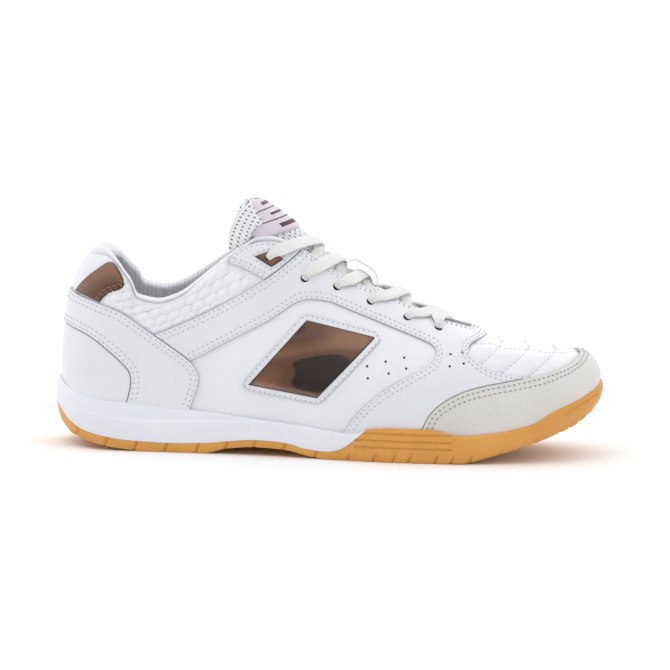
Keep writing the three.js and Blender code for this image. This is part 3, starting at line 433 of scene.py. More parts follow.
def loopOf(*lines):
    # joins lines end to end in one closed outline, counter-clockwise seen from outside
    places = np.vstack([spaced(line)[:-1] for line in lines])
    points = bare(places[:, 0], places[:, 1])
    gap = np.linalg.norm(points - np.roll(points, 1, 0), axis=1)
    places = places[gap > 0.25]
    x, y = places[:, 0], places[:, 1]
    area = (x * np.roll(y, -1) - y * np.roll(x, -1)).sum()
    return places if area > 0 else places[::-1]


def inset(places, amount, closed=True):
    # moves a line to its left, over the surface
    around, share = places[:, 0], places[:, 1]
    a, b = partials(around, np.minimum(share, 0.99))
    normal = unit(np.cross(a, b))
    points = bare(around, share)
    if closed:
        run = np.roll(points, -1, 0) - np.roll(points, 1, 0)
    else:
        run = np.gradient(points, axis=0)
    left = np.cross(normal, unit(run)) * np.broadcast_to(amount, len(places))[:, None]
    aa, bb, ab = (a * a).sum(1), (b * b).sum(1), (a * b).sum(1)
    am, bm = (a * left).sum(1), (b * left).sum(1)
    det = np.maximum(aa * bb - ab * ab, 1e-6)
    moved = np.stack([(am * bb - bm * ab) / det, (bm * aa - am * ab) / det], 1)
    return places + np.clip(moved, [-8, -0.08], [8, 0.08])


def insideOf(loop, x, y):
    inside = np.zeros(len(x), bool)
    x0, y0 = loop[:, 0], loop[:, 1]
    x1, y1 = np.roll(x0, -1), np.roll(y0, -1)
    for k in range(len(loop)):
        crosses = (y0[k] > y) != (y1[k] > y)
        at = x0[k] + (y - y0[k]) / np.where(crosses, y1[k] - y0[k], 1) * (x1[k] - x0[k])
        inside ^= crosses & (x < at)
    return inside


# Meshes
def meshPiece(name, points, faces, material, values=None, uv=None, sharp=40):
    mesh = bpy.data.meshes.new(name)
    points = (np.asarray(points) + form["middle"]) / 1000
    mesh.from_pydata(points.tolist(), [], [tuple(int(k) for k in face) for face in faces])
    mesh.validate()
    for key, numbers in (values or {}).items():
        mesh.attributes.new(key, "FLOAT", "POINT").data.foreach_set("value", np.asarray(numbers, np.float32))
    if uv is not None:
        corners = np.empty(len(mesh.loops), np.int32)
        mesh.loops.foreach_get("vertex_index", corners)
        layer = mesh.uv_layers.new(name="surface")
        layer.data.foreach_set("uv", np.asarray(uv, np.float32)[corners].ravel())
    mesh.materials.append(material)
    mesh.shade_smooth()
    mesh.set_sharp_from_angle(angle=math.radians(sharp))
    piece = bpy.data.objects.new(name, mesh)
    scene.collection.objects.link(piece)
    return piece


def gridFaces(rows, columns, closed=False, start=0, flip=False):
    i, j = np.meshgrid(np.arange(rows - 1), np.arange(columns if closed else columns - 1), indexing="ij")
    k = (j + 1) % columns
    quads = np.stack([i * columns + j, i * columns + k, (i + 1) * columns + k, (i + 1) * columns + j], -1)
    quads = quads.reshape(-1, 4) + start
    return quads[:, ::-1] if flip else quads


def allOf(blocks):
    return [face for block in blocks for face in block]


def ringFaces(count, columns):
    # rings joined in a row, and the last one to the first
    here = np.arange(columns)
    ahead = (here + 1) % columns
    last = (count - 1) * columns
    closing = np.stack([last + here, last + ahead, ahead, here], 1)
    return np.vstack([gridFaces(count, columns, closed=True), closing])


def finished(piece, slot, *nodes):
    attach(piece, "root")
    if nodes:
        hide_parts(*nodes)
    return piece


def nearest(points, others):
    # each point's distance to the closest of the others, in batches
    size = 800
    batches = [points[k : k + size] for k in range(0, len(points), size)]
    return np.concatenate([np.linalg.norm(batch[:, None] - others[None], axis=2).min(1) for batch in batches])


panelEdge = ((0.0, -0.15), (0.0, 0.5), (0.12, 0.8), (0.38, 0.96), (0.8, 1.0))  # inward, share of the height
panelSpacing = 1.7
shareScale = np.array([1.0, 100.0])  # brings a share of the form's girth to about a millimetre


def filled(inner):
    # the outline and points set in rows inside it, as triangles: places, triangles, outline's new numbers
    low, high = inner.min(0), inner.max(0)
    across, up = np.arange(low[0], high[0], panelSpacing), np.arange(low[1], high[1], panelSpacing * 0.9)
    gx, gy = np.meshgrid(across, up)
    gx = (gx + (np.arange(gx.shape[0]) % 2)[:, None] * panelSpacing / 2).ravel()
    inside = np.stack([gx, gy.ravel()], 1)
    inside = inside[insideOf(inner, gx, gy.ravel())]
    cloud = np.vstack([inner, inside[nearest(inside, inner) > 0.6 * panelSpacing]])
    edges = [(k, (k + 1) % len(inner)) for k in range(len(inner))]
    made = delaunay_2d_cdt([Vector(p) for p in cloud], edges, [], 1, 1e-4)
    came = {old: new for new, olds in enumerate(made[3]) for old in olds}
    places = np.array([tuple(v) for v in made[0]]) / shareScale
    return places, np.array([tuple(f) for f in made[2]]), np.array([came[k] for k in range(len(inner))])


def panel(name, loop, material, slot, nodes=(), base=0.0, height=form["overlay"]):
    # a piece of leather laid on the form, with a rolled edge
    lines = [loop] + [inset(loop, amount) for amount, _ in panelEdge[1:]]
    flat, triangles, boundary = filled(lines[-1] * shareScale)
    points = bare(flat[:, 0], flat[:, 1])
    edge = nearest(points, bare(loop[:, 0], loop[:, 1]))
    normals = normalAt(flat[:, 0], flat[:, 1])
    blocks = [points + normals * (base + height), points + normals * (base - 0.15)]
    faces = [triangles, triangles[:, ::-1] + len(points)]
    sizes, uv = [edge, edge], [flat * shareScale / 10] * 2
    count = len(loop)
    here = np.arange(count)
    ahead = (here + 1) % count
    ladders = [here + len(points) * 2 + count * k for k in range(len(panelEdge) - 1)] + [boundary]
    for (amount, rise), line in zip(panelEdge[:-1], lines[:-1]):
        blocks.append(onForm(line[:, 0], line[:, 1], base + height * rise))
        sizes.append(np.full(count, amount))
        uv.append(line * shareScale / 10)
    for outer, inner in zip(ladders[:-1], ladders[1:]):
        faces.append(np.stack([outer, outer[ahead], inner[ahead], inner], 1))
    under = boundary + len(points)
    faces.append(np.stack([ladders[0], under, under[ahead], ladders[0][ahead]], 1))
    values = {"edge": np.concatenate(sizes)}
    piece = meshPiece(name, np.vstack(blocks), allOf(faces), material, values, np.vstack(uv))
    return finished(piece, slot, *nodes)


# Materials
def linear(code):
    channels = [int(code[k : k + 2], 16) / 255 for k in (1, 3, 5)]
    return [c / 12.92 if c <= 0.04045 else ((c + 0.055) / 1.055) ** 2.4 for c in channels] + [1.0]


def add(tree, kind, settings=None, values=None, links=None):
    made = tree.nodes.new(kind)
    for key, value in (settings or {}).items():
        setattr(made, key, value)
    for key, value in (values or {}).items():
        made.inputs[key].default_value = value
    for key, source in (links or {}).items():
        tree.links.new(source, made.inputs[key])
    return made


def perMm(size):
    # a texture's scale on Object coordinates, which are in metres
    return 1000 / size


def material(name, values):
    made = bpy.data.materials.new(name)
    made.use_nodes = True
    tree = made.node_tree
    tree.nodes.clear()
    shader = add(tree, "ShaderNodeBsdfPrincipled", values=values)
    add(tree, "ShaderNodeOutputMaterial", links={"Surface": shader.outputs[0]})
    return made, tree, shader, add(tree, "ShaderNodeTexCoord")


def blended(tree, factor, one, other):
    # colour one where the factor is 0, the other where it is 1
    return add(tree, "ShaderNodeMix", {"data_type": "RGBA"}, {6: linear(one), 7: linear(other)},
               {0: factor}).outputs[2]


def bumped(tree, shader, layers):
    # layers of height, each with its depth in millimetres, the last one on top
    normal = None
    for height, depth in layers:
        links = {"Height": height}
        if normal is not None:
            links["Normal"] = normal
        values = {"Strength": 1.0, "Distance": depth / 1000}
        normal = add(tree, "ShaderNodeBump", None, values, links).outputs[0]
    tree.links.new(normal, shader.inputs["Normal"])


def noise(tree, place, size, detail, distortion=0.0):
    values = {"Scale": perMm(size), "Detail": detail, "Distortion": distortion}
    return add(tree, "ShaderNodeTexNoise", None, values, {"Vector": place}).outputs["Fac"]


def cells(tree, place, size):
    made = add(tree, "ShaderNodeTexVoronoi", {"feature": "F1"}, {"Scale": perMm(size)}, {"Vector": place})
    return made.outputs["Distance"]


def ranged(tree, value, low, high, to=(0.0, 1.0), soft=False):
    ends = {"From Min": low, "From Max": high, "To Min": to[0], "To Max": to[1]}
    settings = {"interpolation_type": "SMOOTHSTEP"} if soft else {}
    return add(tree, "ShaderNodeMapRange", settings, ends, {"Value": value}).outputs[0]


def over(tree, factor, body, colour):
    # the colour laid over the body where the factor is 1
    mix = add(tree, "ShaderNodeMix", {"data_type": "RGBA"}, {7: linear(colour)}, {0: factor, 6: body})
    return mix.outputs[2]


def maths(tree, operation, one, other):
    return add(tree, "ShaderNodeMath", {"operation": operation}, None, {0: one, 1: other}).outputs[0]


def edgeOf(tree):
    # millimetres from the piece's cut edge
    return add(tree, "ShaderNodeAttribute", {"attribute_name": "edge"}).outputs["Fac"]


def surfaced(tree, shader, colour, gloss, layers):
    tree.links.new(colour, shader.inputs["Base Color"])
    if gloss is not None:
        tree.links.new(gloss, shader.inputs["Roughness"])
    bumped(tree, shader, layers)


def leather(name, look):
    made, tree, shader, coords = material(name, {
        "IOR": 1.47, "Sheen Weight": look["sheen"], "Sheen Roughness": 0.5,
        "Coat Weight": look["coat"], "Coat Roughness": look["coatRoughness"],
        "Subsurface Weight": 0.04, "Subsurface Scale": 0.001,
    })
    place = coords.outputs["Object"]
    grain = cells(tree, place, look["grain"])
    pores = noise(tree, place, look["grain"] * 0.6, 3.0)
    folds = noise(tree, place, 14, 3.0, 0.6)
    broad = noise(tree, place, 45, 2.0)
    # painted shade: the cut edge coloured grey, the shadow line along the piece's step
    edgeShade = ranged(tree, edgeOf(tree), 0.0, look["edgeShadeWidth"], (1.0, 0.0), True)
    body = blended(tree, ranged(tree, broad, 0.3, 0.7), look["colour"], look["shade"])
    gloss = ranged(tree, pores, 0.3, 0.7, (look["roughness"] - 0.06, look["roughness"] + 0.08))
    depth = look["grainDepth"]
    surfaced(tree, shader, over(tree, edgeShade, body, look["edgeShadeColour"]), gloss,
             [(folds, look["foldDepth"]), (grain, depth), (pores, depth * 0.6)])
    return made


# the grey given for the cut edges is painted shade of their step
whiteLeather = {
    "colour": "#EAEBEF", "shade": "#E2E4EA", "edgeShadeColour": "#A9ABB5", "edgeShadeWidth": 0.45, "roughness": 0.4,
    "sheen": 0.0, "coat": 0.12, "coatRoughness": 0.35, "grain": 0.9, "grainDepth": 0.05,
    "foldDepth": 0.35,
}
# full-grain leather, finished white: fine pebble and soft highlights on the laid-on parts
fullGrainLeather = leather("full_grain_leather", {**whiteLeather, "foldDepth": 0.25})
plainGrainLeather = leather("plain_grain_leather", whiteLeather)
# tumbled leather: the same hide with a coarser, softer grain on the padded parts
tumbledLeather = leather("tumbled_leather", {
    **whiteLeather, "grain": 1.3, "grainDepth": 0.09, "foldDepth": 0.8, "roughness": 0.46,
    "colour": "#F0F1F4", "shade": "#E9EAEF", "edgeShadeWidth": 0.01,
})
# split suede: warm grey-white, a short nap with no gloss and faint brushed patches
splitSuede = leather("split_suede", {
    **whiteLeather, "colour": "#E5E4E1", "shade": "#DAD8D4", "edgeShadeColour": "#BDBAB2", "roughness": 0.92,
    "sheen": 0.5, "coat": 0.0, "grain": 0.5, "grainDepth": 0.16, "foldDepth": 0.35,
})


def patent():
    # patent leather: bronze film over a smooth hide, with near-black bands painted in as the reflection of
    # the dark side of the room
    made, tree, shader, coords = material("bronze_patent", {
        "Metallic": 0.35, "Roughness": 0.22, "Coat Weight": 1.0, "Coat Roughness": 0.04, "IOR": 1.52,
    })
    place = coords.outputs["Object"]
    drawnOut = add(tree, "ShaderNodeMapping", None, {"Rotation": (0, 0.75, 0), "Scale": (0.45, 1.0, 1.5)},
                   {"Vector": place}).outputs[0]
    broad = noise(tree, drawnOut, 26, 0.0, 0.5)
    fine = noise(tree, place, 1.2, 2.0)
    # painted reflection: near-black bands along the film's drawn-out streaks
    dark = ranged(tree, broad, 0.59, 0.63, soft=True)
    # painted shade: the cut edge near black as well
    edgeShade = ranged(tree, edgeOf(tree), 0.5, 0.9, (1.0, 0.0))
    film = blended(tree, ranged(tree, broad, 0.34, 0.52), "#8C6147", "#67422D")
    tone = over(tree, maths(tree, "MAXIMUM", dark, edgeShade), film, "#26140D")
    surfaced(tree, shader, tone, None, [(broad, 0.5), (fine, 0.012)])
    return made


def gum():
    # gum rubber: honey-brown, moulded semi-matt, lets a little light in, with a fine mould texture
    made, tree, shader, coords = material("gum_rubber", {
        "IOR": 1.52, "Subsurface Weight": 0.12, "Subsurface Radius": (1.0, 0.5, 0.2),
        "Subsurface Scale": 0.002, "Coat Weight": 0.1, "Coat Roughness": 0.4,
    })
    place = coords.outputs["Object"]
    broad = noise(tree, place, 22, 3.0)
    mould = noise(tree, place, 0.7, 3.0)
    along = add(tree, "ShaderNodeSeparateXYZ", None, None, {0: place}).outputs[0]
    body = blended(tree, ranged(tree, broad, 0.3, 0.7), "#E3A550", "#D89A43")
    # painted shade: a deeper brown towards the toe, where less light falls on the gum
    tone = over(tree, ranged(tree, along, 0.09, 0.142, soft=True), body, "#D6923A")
    surfaced(tree, shader, tone, ranged(tree, mould, 0.0, 1.0, (0.42, 0.6)), [(broad, 0.2), (mould, 0.05)])
    return made


def foam():
    # EVA foam with a skin: cool white, satin, faint ripples and a fine stipple from the mould
    made, tree, shader, coords = material("eva_foam", {
        "IOR": 1.45, "Subsurface Weight": 0.1, "Subsurface Scale": 0.003,
    })
    place = coords.outputs["Object"]
    ripple = noise(tree, place, 30, 2.0)
    stipple = cells(tree, place, 0.8)
    tone = blended(tree, ranged(tree, ripple, 0.3, 0.7), "#EFF0F6", "#E7E9F1")
    gloss = ranged(tree, stipple, 0.0, 1.0, (0.38, 0.52))
    surfaced(tree, shader, tone, gloss, [(ripple, 0.25), (stipple, 0.03)])
    return made


def knit(name, look):
    # knitted cloth on its own UV map, where 1 is 10 mm
    made, tree, shader, coords = material(name, {
        "Roughness": 0.88, "Sheen Weight": 0.25, "Sheen Roughness": 0.6, "IOR": 1.5,
    })
    uv = coords.outputs["UV"]
    turned = add(tree, "ShaderNodeMapping", None, {"Rotation": (0, 0, look["turn"])}, {"Vector": uv})
    holes = add(tree, "ShaderNodeTexVoronoi", {"feature": "F1", "voronoi_dimensions": "2D"},
                {"Scale": 10 / look["pitch"], "Randomness": look["uneven"]}, {"Vector": turned.outputs[0]})
    opened = ranged(tree, holes.outputs["Distance"], look["hole"] * 0.7, look["hole"], (1.0, 0.0), True)
    ribs = add(tree, "ShaderNodeTexWave", {"wave_type": "BANDS", "bands_direction": "X"},
               {"Scale": math.pi / look["rib"], "Distortion": 0.4, "Detail": 1.0}, {"Vector": uv})
    ribs = ribs.outputs["Fac"]
    yarn = noise(tree, coords.outputs["Object"], 0.5, 3.0)
    # painted shade: the rib valleys coloured darker than the ribs
    body = blended(tree, ribs, look["valleyShade"], look["colour"])
    solid = add(tree, "ShaderNodeMath", {"operation": "SUBTRACT"}, {0: 1.0}, {1: opened}).outputs[0]
    surfaced(tree, shader, over(tree, opened, body, look["dark"]), None,
             [(ribs, look["ribDepth"]), (solid, look["holeDepth"]), (yarn, 0.12)])
    return made


def label():
    # woven label: lilac-white satin weave with plain brown rules and bars woven across it
    made, tree, shader, coords = material("woven_label", {"Roughness": 0.6, "Sheen Weight": 0.2, "IOR": 1.5})
    uv = coords.outputs["UV"]
    parts = add(tree, "ShaderNodeSeparateXYZ", None, None, {0: uv})
    weft = add(tree, "ShaderNodeTexWave", {"bands_direction": "Y"}, {"Scale": 12.0, "Distortion": 0.3},
               {"Vector": uv}).outputs["Fac"]

    def band(centre, half, source):
        near = add(tree, "ShaderNodeMath", {"operation": "COMPARE"}, {1: centre, 2: half}, {0: source})
        return near.outputs[0]

    marks = maths(tree, "MAXIMUM", band(0.34, 0.014, parts.outputs[1]), band(0.66, 0.014, parts.outputs[1]))
    for centre, half in ((0.17, 0.05), (0.5, 0.03), (0.83, 0.05)):
        bar = maths(tree, "MULTIPLY", band(centre, half, parts.outputs[1]), band(0.5, 0.27, parts.outputs[0]))
        marks = maths(tree, "MAXIMUM", marks, bar)
    ground = blended(tree, weft, "#DDD2DF", "#EAE1EB")
    surfaced(tree, shader, over(tree, marks, ground, "#5A3A30"), None, [(weft, 0.08), (marks, 0.1)])
    return made


def laceCloth():
    # flat polyester lace: white with a green tinge, tubular weave that shows as ribs along it; the grooves
    # between the ribs are painted greenish grey as shade
    made, tree, shader, coords = material("flat_polyester_lace", {
        "Roughness": 0.8, "Sheen Weight": 0.3, "Sheen Roughness": 0.5, "IOR": 1.5,
        "Subsurface Weight": 0.05, "Subsurface Scale": 0.001,
    })
    uv = coords.outputs["UV"]
    ribs = add(tree, "ShaderNodeTexWave", {"bands_direction": "X", "wave_profile": "SIN"},
               {"Scale": 3.0, "Distortion": 0.1}, {"Vector": uv}).outputs["Fac"]
    picks = add(tree, "ShaderNodeTexWave", {"bands_direction": "DIAGONAL"}, {"Scale": 5.5, "Distortion": 0.6},
                {"Vector": uv}).outputs["Fac"]
    # painted shade: greenish grey in the rib grooves
    surfaced(tree, shader, blended(tree, ribs, "#E9ECE8", "#FBFCFA"), None,
             [(ribs, 0.16), (maths(tree, "MULTIPLY", ribs, picks), 0.08)])
    return made


def plain(name, colour, roughness):
    made, tree, shader, coords = material(name, {"Roughness": roughness})
    fibre = noise(tree, coords.outputs["Object"], 0.6, 2.0)
    dark = "#" + "".join(f"{int(int(colour[k : k + 2], 16) * 0.86):02X}" for k in (1, 3, 5))
    surfaced(tree, shader, blended(tree, fibre, dark, colour), None, [(fibre, 0.05)])
    return made


bronzePatent, gumRubber, evaFoam = patent(), gum(), foam()
# spacer mesh: white warp knit with round openings through which the dark backing shows
airMesh = knit("air_mesh", {
    "colour": "#F6F6F8", "valleyShade": "#E9EAED", "dark": "#59545A", "turn": 0.785, "pitch": 2.7, "hole": 0.2,
    "uneven": 0.0, "rib": 1.1, "ribDepth": 0.06, "holeDepth": 0.35,
})
# ribbed lining: light grey knit with close upright ribs, matt and soft
ribbedLining = knit("ribbed_lining", {
    "colour": "#FBFBFD", "valleyShade": "#E6E8EE", "dark": "#C9CCD4", "turn": 0.0, "pitch": 1.3, "hole": 0.22,
    "uneven": 0.2, "rib": 2.2, "ribDepth": 0.25, "holeDepth": 0.12,
})
# footbed cloth: pale grey non-woven with small punched holes
footbedCloth = knit("footbed_cloth", {
    "colour": "#E3E4E7", "valleyShade": "#D8DADE", "dark": "#9A9CA1", "turn": 0.785, "pitch": 4.5, "hole": 0.16,
    "uneven": 0.0, "rib": 1.0, "ribDepth": 0.04, "holeDepth": 0.3,
})
wovenLabel, polyesterLace = label(), laceCloth()
whiteThread = plain("polyester_thread", "#F4F4F5", 0.6)  # bonded thread, a little brighter than the hide
greyThread = plain("grey_thread", "#B9BABC", 0.6)
goldThread = plain("gold_thread", "#B08A5C", 0.6)  # tan thread on the bronze patches
needleHoleShade = plain("needle_hole_shade", "#3A3735", 0.9)  # painted shade: dark points standing for the shadow in the needle's holes
holeShade = plain("painted_hole_shade", "#2B2928", 0.9)  # painted shade: near-black discs standing for the dark inside holes and eyelets
print("materials ready:", len(bpy.data.materials))


# Sole unit
sole = {
    "columns": 1100,  # round the shoe
    "wallRows": 34,
    "treadStep": 1.5,  # the underside lies this much above the lugs' faces
    "notches": (12.8, 28.5, 43.7, 59.4, 75.7, 90.8, 105.5, 120.7, 136.9, 153.7, 166.8, 176.7, 184.6, 198.2,
                206.6, 216.0, 232.2, 243.2, 249.5, 263.6, 268.9, 274.6, 278.3, 282.0),
    "notchDepth": 1.35,
    "notchWidth": 0.75,
    "notchSlant": 0.35,
    "ribBand": (156.0, 206.0),
    "ribLevels": (7.3, 10.9, 14.5),
    "ribDepth": 0.8,
    "lugPitch": 6.6,
    "lugRadius": 2.9,
}
wallProfile = curveThrough([0, 0.16, 0.4, 0.66, 0.86, 1], [1, 0.45, 0.12, 0, 0.05, 0.3])
foamStep = curveThrough([7, 17, 47, 72, 112], [25.5, 19.5, 15.6, 16.3, 17.4])


def soleEdge(around, inward=0.0):
    progress, side = sideOf(around)
    return placed(progress, side, soleReach(progress, side) - inward, 0.0)


def soleWall(around, rise, gumSide):
    progress, side = sideOf(around)
    _, turn = stationAt(progress)
    endTuck = np.where(turn < 0, 0.14, 0.17)
    tuck = (0.035 + (endTuck - 0.035) * smooth(np.abs(turn) / halfPi)) * form["halfBall"]
    inward = wallProfile(rise) * tuck
    point = soleEdge(around, inward)
    x = point[:, 0]
    z = underHeight(x) + (rimHeight(x) - underHeight(x)) * rise
    push = 0 * x
    if gumSide:
        for at in sole["notches"]:
            slanted = x - at - sole["notchSlant"] * (z - underHeight(x))
            fade = 1 - smooth((rise - 0.12) / 0.26)
            push = push + sole["notchDepth"] * np.exp(-((slanted / sole["notchWidth"]) ** 2)) * fade
        inBand = smooth((x - sole["ribBand"][0]) / 2) * (1 - smooth((x - sole["ribBand"][1]) / 2))
        for level in sole["ribLevels"]:
            push = push + sole["ribDepth"] * inBand * np.exp(-(((z - level) / 0.55) ** 4))
        toeLine = 24.7 + (x - 264.7) * 0.472
        onToe = smooth((x - 262) / 4) * (1 - smooth((x - 283.5) / 1.5))
        push = push + 0.8 * onToe * np.exp(-(((z - toeLine) / 0.6) ** 2))
    else:
        fade = (1 - smooth((x - 75) / 40)) * smooth((x - 5) / 6)
        push = push + 1.25 * fade * smooth((z - foamStep(x)) / 0.9)
    point = soleEdge(around, inward + push)
    point[:, 2] = z
    return point


def gumRise(around):
    # the foam's share of the wall starts here; before the ball the wall is all gum
    x = soleEdge(around)[:, 0]
    rise = (gumHeight(x) - underHeight(x)) / (rimHeight(x) - underHeight(x))
    return np.where(x > 0.57 * form["length"], 2.0, rise)


def onSeat(around, drop):
    # the inside of the sole's side wall, which fits the upper
    return onForm(around, rimShare(around, drop), 0.35)


around = np.arange(sole["columns"]) / sole["columns"] * 2 * ringHalf
rise = np.minimum(gumRise(around), 1.0)
levels = np.linspace(0, 1, sole["wallRows"])
gumRows = [soleWall(around, rise * level, True) for level in levels]
covered = rise < 0.985  # under the foam
for inward, drop, depth in ((0.8, 0.2, 0.15), (5.0, 3.0, 0.3), (12.0, 8.0, 0.4)):
    seat = soleEdge(around, inward)
    seat[:, 2] = gumRows[sole["wallRows"] - 1][:, 2] - depth
    gumRows.append(np.where(covered[:, None], seat, onSeat(around, drop)))
floorEdge = soleEdge(around, 14.0)
floorEdge[:, 2] = np.minimum(gumRows[-1][:, 2], bedHeight(floorEdge[:, 0]) - 0.5)
gumRows.append(floorEdge)
columns = sole["columns"]
half = columns // 2
gumPoints = np.vstack(gumRows)
gumFaces = [gridFaces(len(gumRows), columns, closed=True)]


def rungs(ring, across, level):
    # bridges a ring from its lateral to its medial side; level gives the height at each x
    lateralSide = ring[: half + 1]
    medialSide = np.vstack([ring[:1], ring[:half - 1:-1]])
    t = np.linspace(0, 1, across + 1)[1:-1, None, None]
    middle = lateralSide[None] * (1 - t) + medialSide[None] * t
    middle[..., 2] = level(middle, t[..., 0])
    return middle.reshape(-1, 3)


def rungFaces(start, ringStart, across, flip):
    # the bridge's own rows between the ring's two sides
    rows = np.empty((across + 1, half + 1), int)
    rows[0] = ringStart + np.arange(half + 1)
    rows[-1] = ringStart + np.concatenate([[0], np.arange(columns - 1, half - 1, -1)])
    rows[1:-1] = start + np.arange((across - 1) * (half + 1)).reshape(across - 1, half + 1)
    quads = np.stack([rows[:-1, :-1], rows[:-1, 1:], rows[1:, 1:], rows[1:, :-1]], -1).reshape(-1, 4)
    return quads[:, ::-1] if flip else quads


def treadLevel(points, t):
    border = smooth(np.minimum(t, 1 - t) * np.ptp(points[..., 1], axis=0) / 2 - 1.2)
    ends = smooth((points[..., 0] - 8) / 2) * (1 - smooth((points[..., 0] - 279) / 2))
    return underHeight(points[..., 0]) + sole["treadStep"] * border * ends


across = 44
under = rungs(gumRows[0], across, treadLevel)
gumFaces.append(rungFaces(len(gumPoints), 0, across, True))
gumPoints = np.vstack([gumPoints, under])
inside = rungs(floorEdge, 4, lambda p, t: bedHeight(p[..., 0]) - 0.5 + 0 * p[..., 1])
gumFaces.append(rungFaces(len(gumPoints), (len(gumRows) - 1) * columns, 4, False))
gumPoints = np.vstack([gumPoints, inside])
outsoleGum = meshPiece("outsole_gum", gumPoints, allOf(gumFaces), gumRubber)

# foam wedge: a closed section carried round the heel between the two places where it runs out
bound = np.where(covered)[0]
gap = int(np.argmax(np.diff(bound)))
track = np.linspace(-(columns - bound[gap + 1]) - 0.9, bound[gap] + 0.9, 760) / columns * 2 * ringHalf
rise = np.minimum(gumRise(track), 1.0)
foamRows = [soleWall(track, rise + (1 - rise) * level, False) for level in np.linspace(0, 1, 26)]
foamRows[0][:, 2] += 0.12
foamRows.append((foamRows[-1] + onSeat(track, 0.0)) / 2 + [0, 0, 0.12])
foamRows += [onSeat(track, 0.25), onSeat(track, 3.0)]
for level in (lambda x: bedHeight(x) - 0.4, lambda x: np.minimum(gumHeight(x), bedHeight(x) - 1) + 0.2):
    edge = soleEdge(track, 13.0)
    edge[:, 2] = level(edge[:, 0])
    foamRows.append(edge)
foamRows.append(foamRows[0])
foamFaces = [gridFaces(len(foamRows) - 1, len(track))]
ring = np.arange(len(foamRows) - 1) * len(track)
lastRow = (len(foamRows) - 2) * len(track)
strip = np.arange(len(track) - 1)
foamFaces.append(np.stack([lastRow + strip, lastRow + strip + 1, strip + 1, strip], 1))
foamList = allOf(foamFaces) + [ring, ring[::-1] + len(track) - 1]
midsoleFoam = meshPiece("midsole_foam", np.vstack(foamRows[:-1]), foamList, evaFoam)
finished(outsoleGum, "gum_rubber", "outsole")
finished(midsoleFoam, "foam", "midsole")
print("sole ready")

# Upper: leather shell with the padded collar, and the lining inside it
upper = {
    "columns": 760, "rows": 108, "innerRows": 14, "liningRows": 50,
    "skin": 1.1,  # the hide's own thickness
    "cellWidth": 6.2, "cellHeight": 4.7, "cellRise": 1.7,
    "rollWidth": 3.7, "rollRise": 1.5, "rollGroove": 1.1,  # the roll along the top line
    "toeBox": 206.0,  # the quilting starts here
}
quilt = {"start": 157.5, "step": 16.3, "slope": 1.25, "rise": 1.0, "shoulder": 3.2}
quiltLevel = curveThrough([205, 218, 226, 234, 245, 255, 269, 275],
                          [61, 60, 59.7, 57.9, 57.1, 55.8, 55.1, 54])


def shareLine(name, side):
    # the seam's share at any place round the shoe
    line = onSide(seamLine(name), side, 1.0)
    order = np.argsort(np.abs(line[:, 0]))
    return lambda around: np.interp(np.abs(around), np.abs(line[order, 0]), line[order, 1])


shareOf = {name: {side: shareLine(name, side) for side in (-1, 1)}
           for name in ("heelBand", "saddleTop", "collarRoll", "eyeletTab")}
throatInset = 0.012


def seamShare(name, turned):
    lines, away = shareOf[name], np.abs(turned)
    return np.where(turned >= 0, lines[-1](away), lines[1](away))


def edgeShare(around):
    # where the laid-on leather ends: under the collar's roll, then beside the throat
    turned = turnedOf(around)
    beside = topShare(around) - throatInset
    under = np.minimum(beside, seamShare("collarRoll", turned))
    onRoll = 1 - smooth((first + np.abs(turned) - 116) / 6)
    return beside + (under - beside) * onRoll


patchLoops = {}
for side in (-1, 1):
    places = onSide(seamLine("collarPatch"), side)
    keep = places[:, 1] > shareOf["heelBand"][side](np.abs(places[:, 0])) + 0.003
    patchLoops[side] = loopOf(places[keep], np.vstack([places[keep][-1:], places[keep][:1]]))


def upperLift(around, share):
    # how far the hide stands off the form: the collar's roll and cells, the quilting of the toe box
    turned = turnedOf(around)
    away = np.abs(turned)
    progress = first + away
    lower = np.maximum(seamShare("heelBand", turned), seamShare("saddleTop", turned))
    place = bare(around, share)
    height = bare(around, topShare(around))[:, 2] - place[:, 2]
    collar = 1 - smooth((progress / form["length"] - 0.385) / 0.05)
    collar = collar * (0.3 + 0.7 * smooth((away - 8) / 16))
    # the roll along the top line, and the groove under it
    halfRoll = upper["rollWidth"] / 2
    roll = np.sqrt(np.clip(1 - ((height - halfRoll) / halfRoll) ** 2, 0, 1))
    under = np.exp(-(((height - upper["rollWidth"] - 0.15) / 0.5) ** 2))
    lift = collar * (upper["rollRise"] * roll - upper["rollGroove"] * under)
    # soft cells, staggered like bricks, between the roll and the seams
    x = away / upper["cellWidth"]
    y = (share * 100 - 0.45 * away) / upper["cellHeight"]
    x = x + 0.5 * (np.floor(y) % 2)
    cell = np.abs(np.sin(np.pi * x)) ** 0.4 * np.abs(np.sin(np.pi * y)) ** 0.4
    room = smooth((height - upper["rollWidth"] - 1) / 2) * smooth((share - lower) * 100 / 2)
    for loop in patchLoops.values():
        room = np.where(insideOf(loop, turned, share), 0.0, room)
    pastTab = (share - seamShare("eyeletTab", turned)) * 60 + 1.5
    room = room * smooth((progress - 22) / 8) * (1 - smooth(pastTab))
    lift = lift + room * upper["cellRise"] * cell
    # quilting of the toe box: lines along it and lines that run back as they go down
    x, z = place[:, 0], place[:, 2]
    steps = (x - quilt["slope"] * z - quilt["start"]) / quilt["step"]
    cross = np.abs((steps + 0.5) % 1 - 0.5) * quilt["step"] / 1.6
    along = np.abs(z - quiltLevel(x)) * 1.3
    toe = np.clip((x - form["toePivot"]) / (form["length"] - form["toePivot"]), 0, 1)
    middle = np.abs(place[:, 1] - form["toeSwing"] * toe**2)
    away = np.minimum(np.minimum(cross, along), middle)
    box = smooth((x - upper["toeBox"]) / 6)
    return lift + box * quilt["rise"] * (smooth(away / quilt["shoulder"]) ** 0.6 - 0.6)


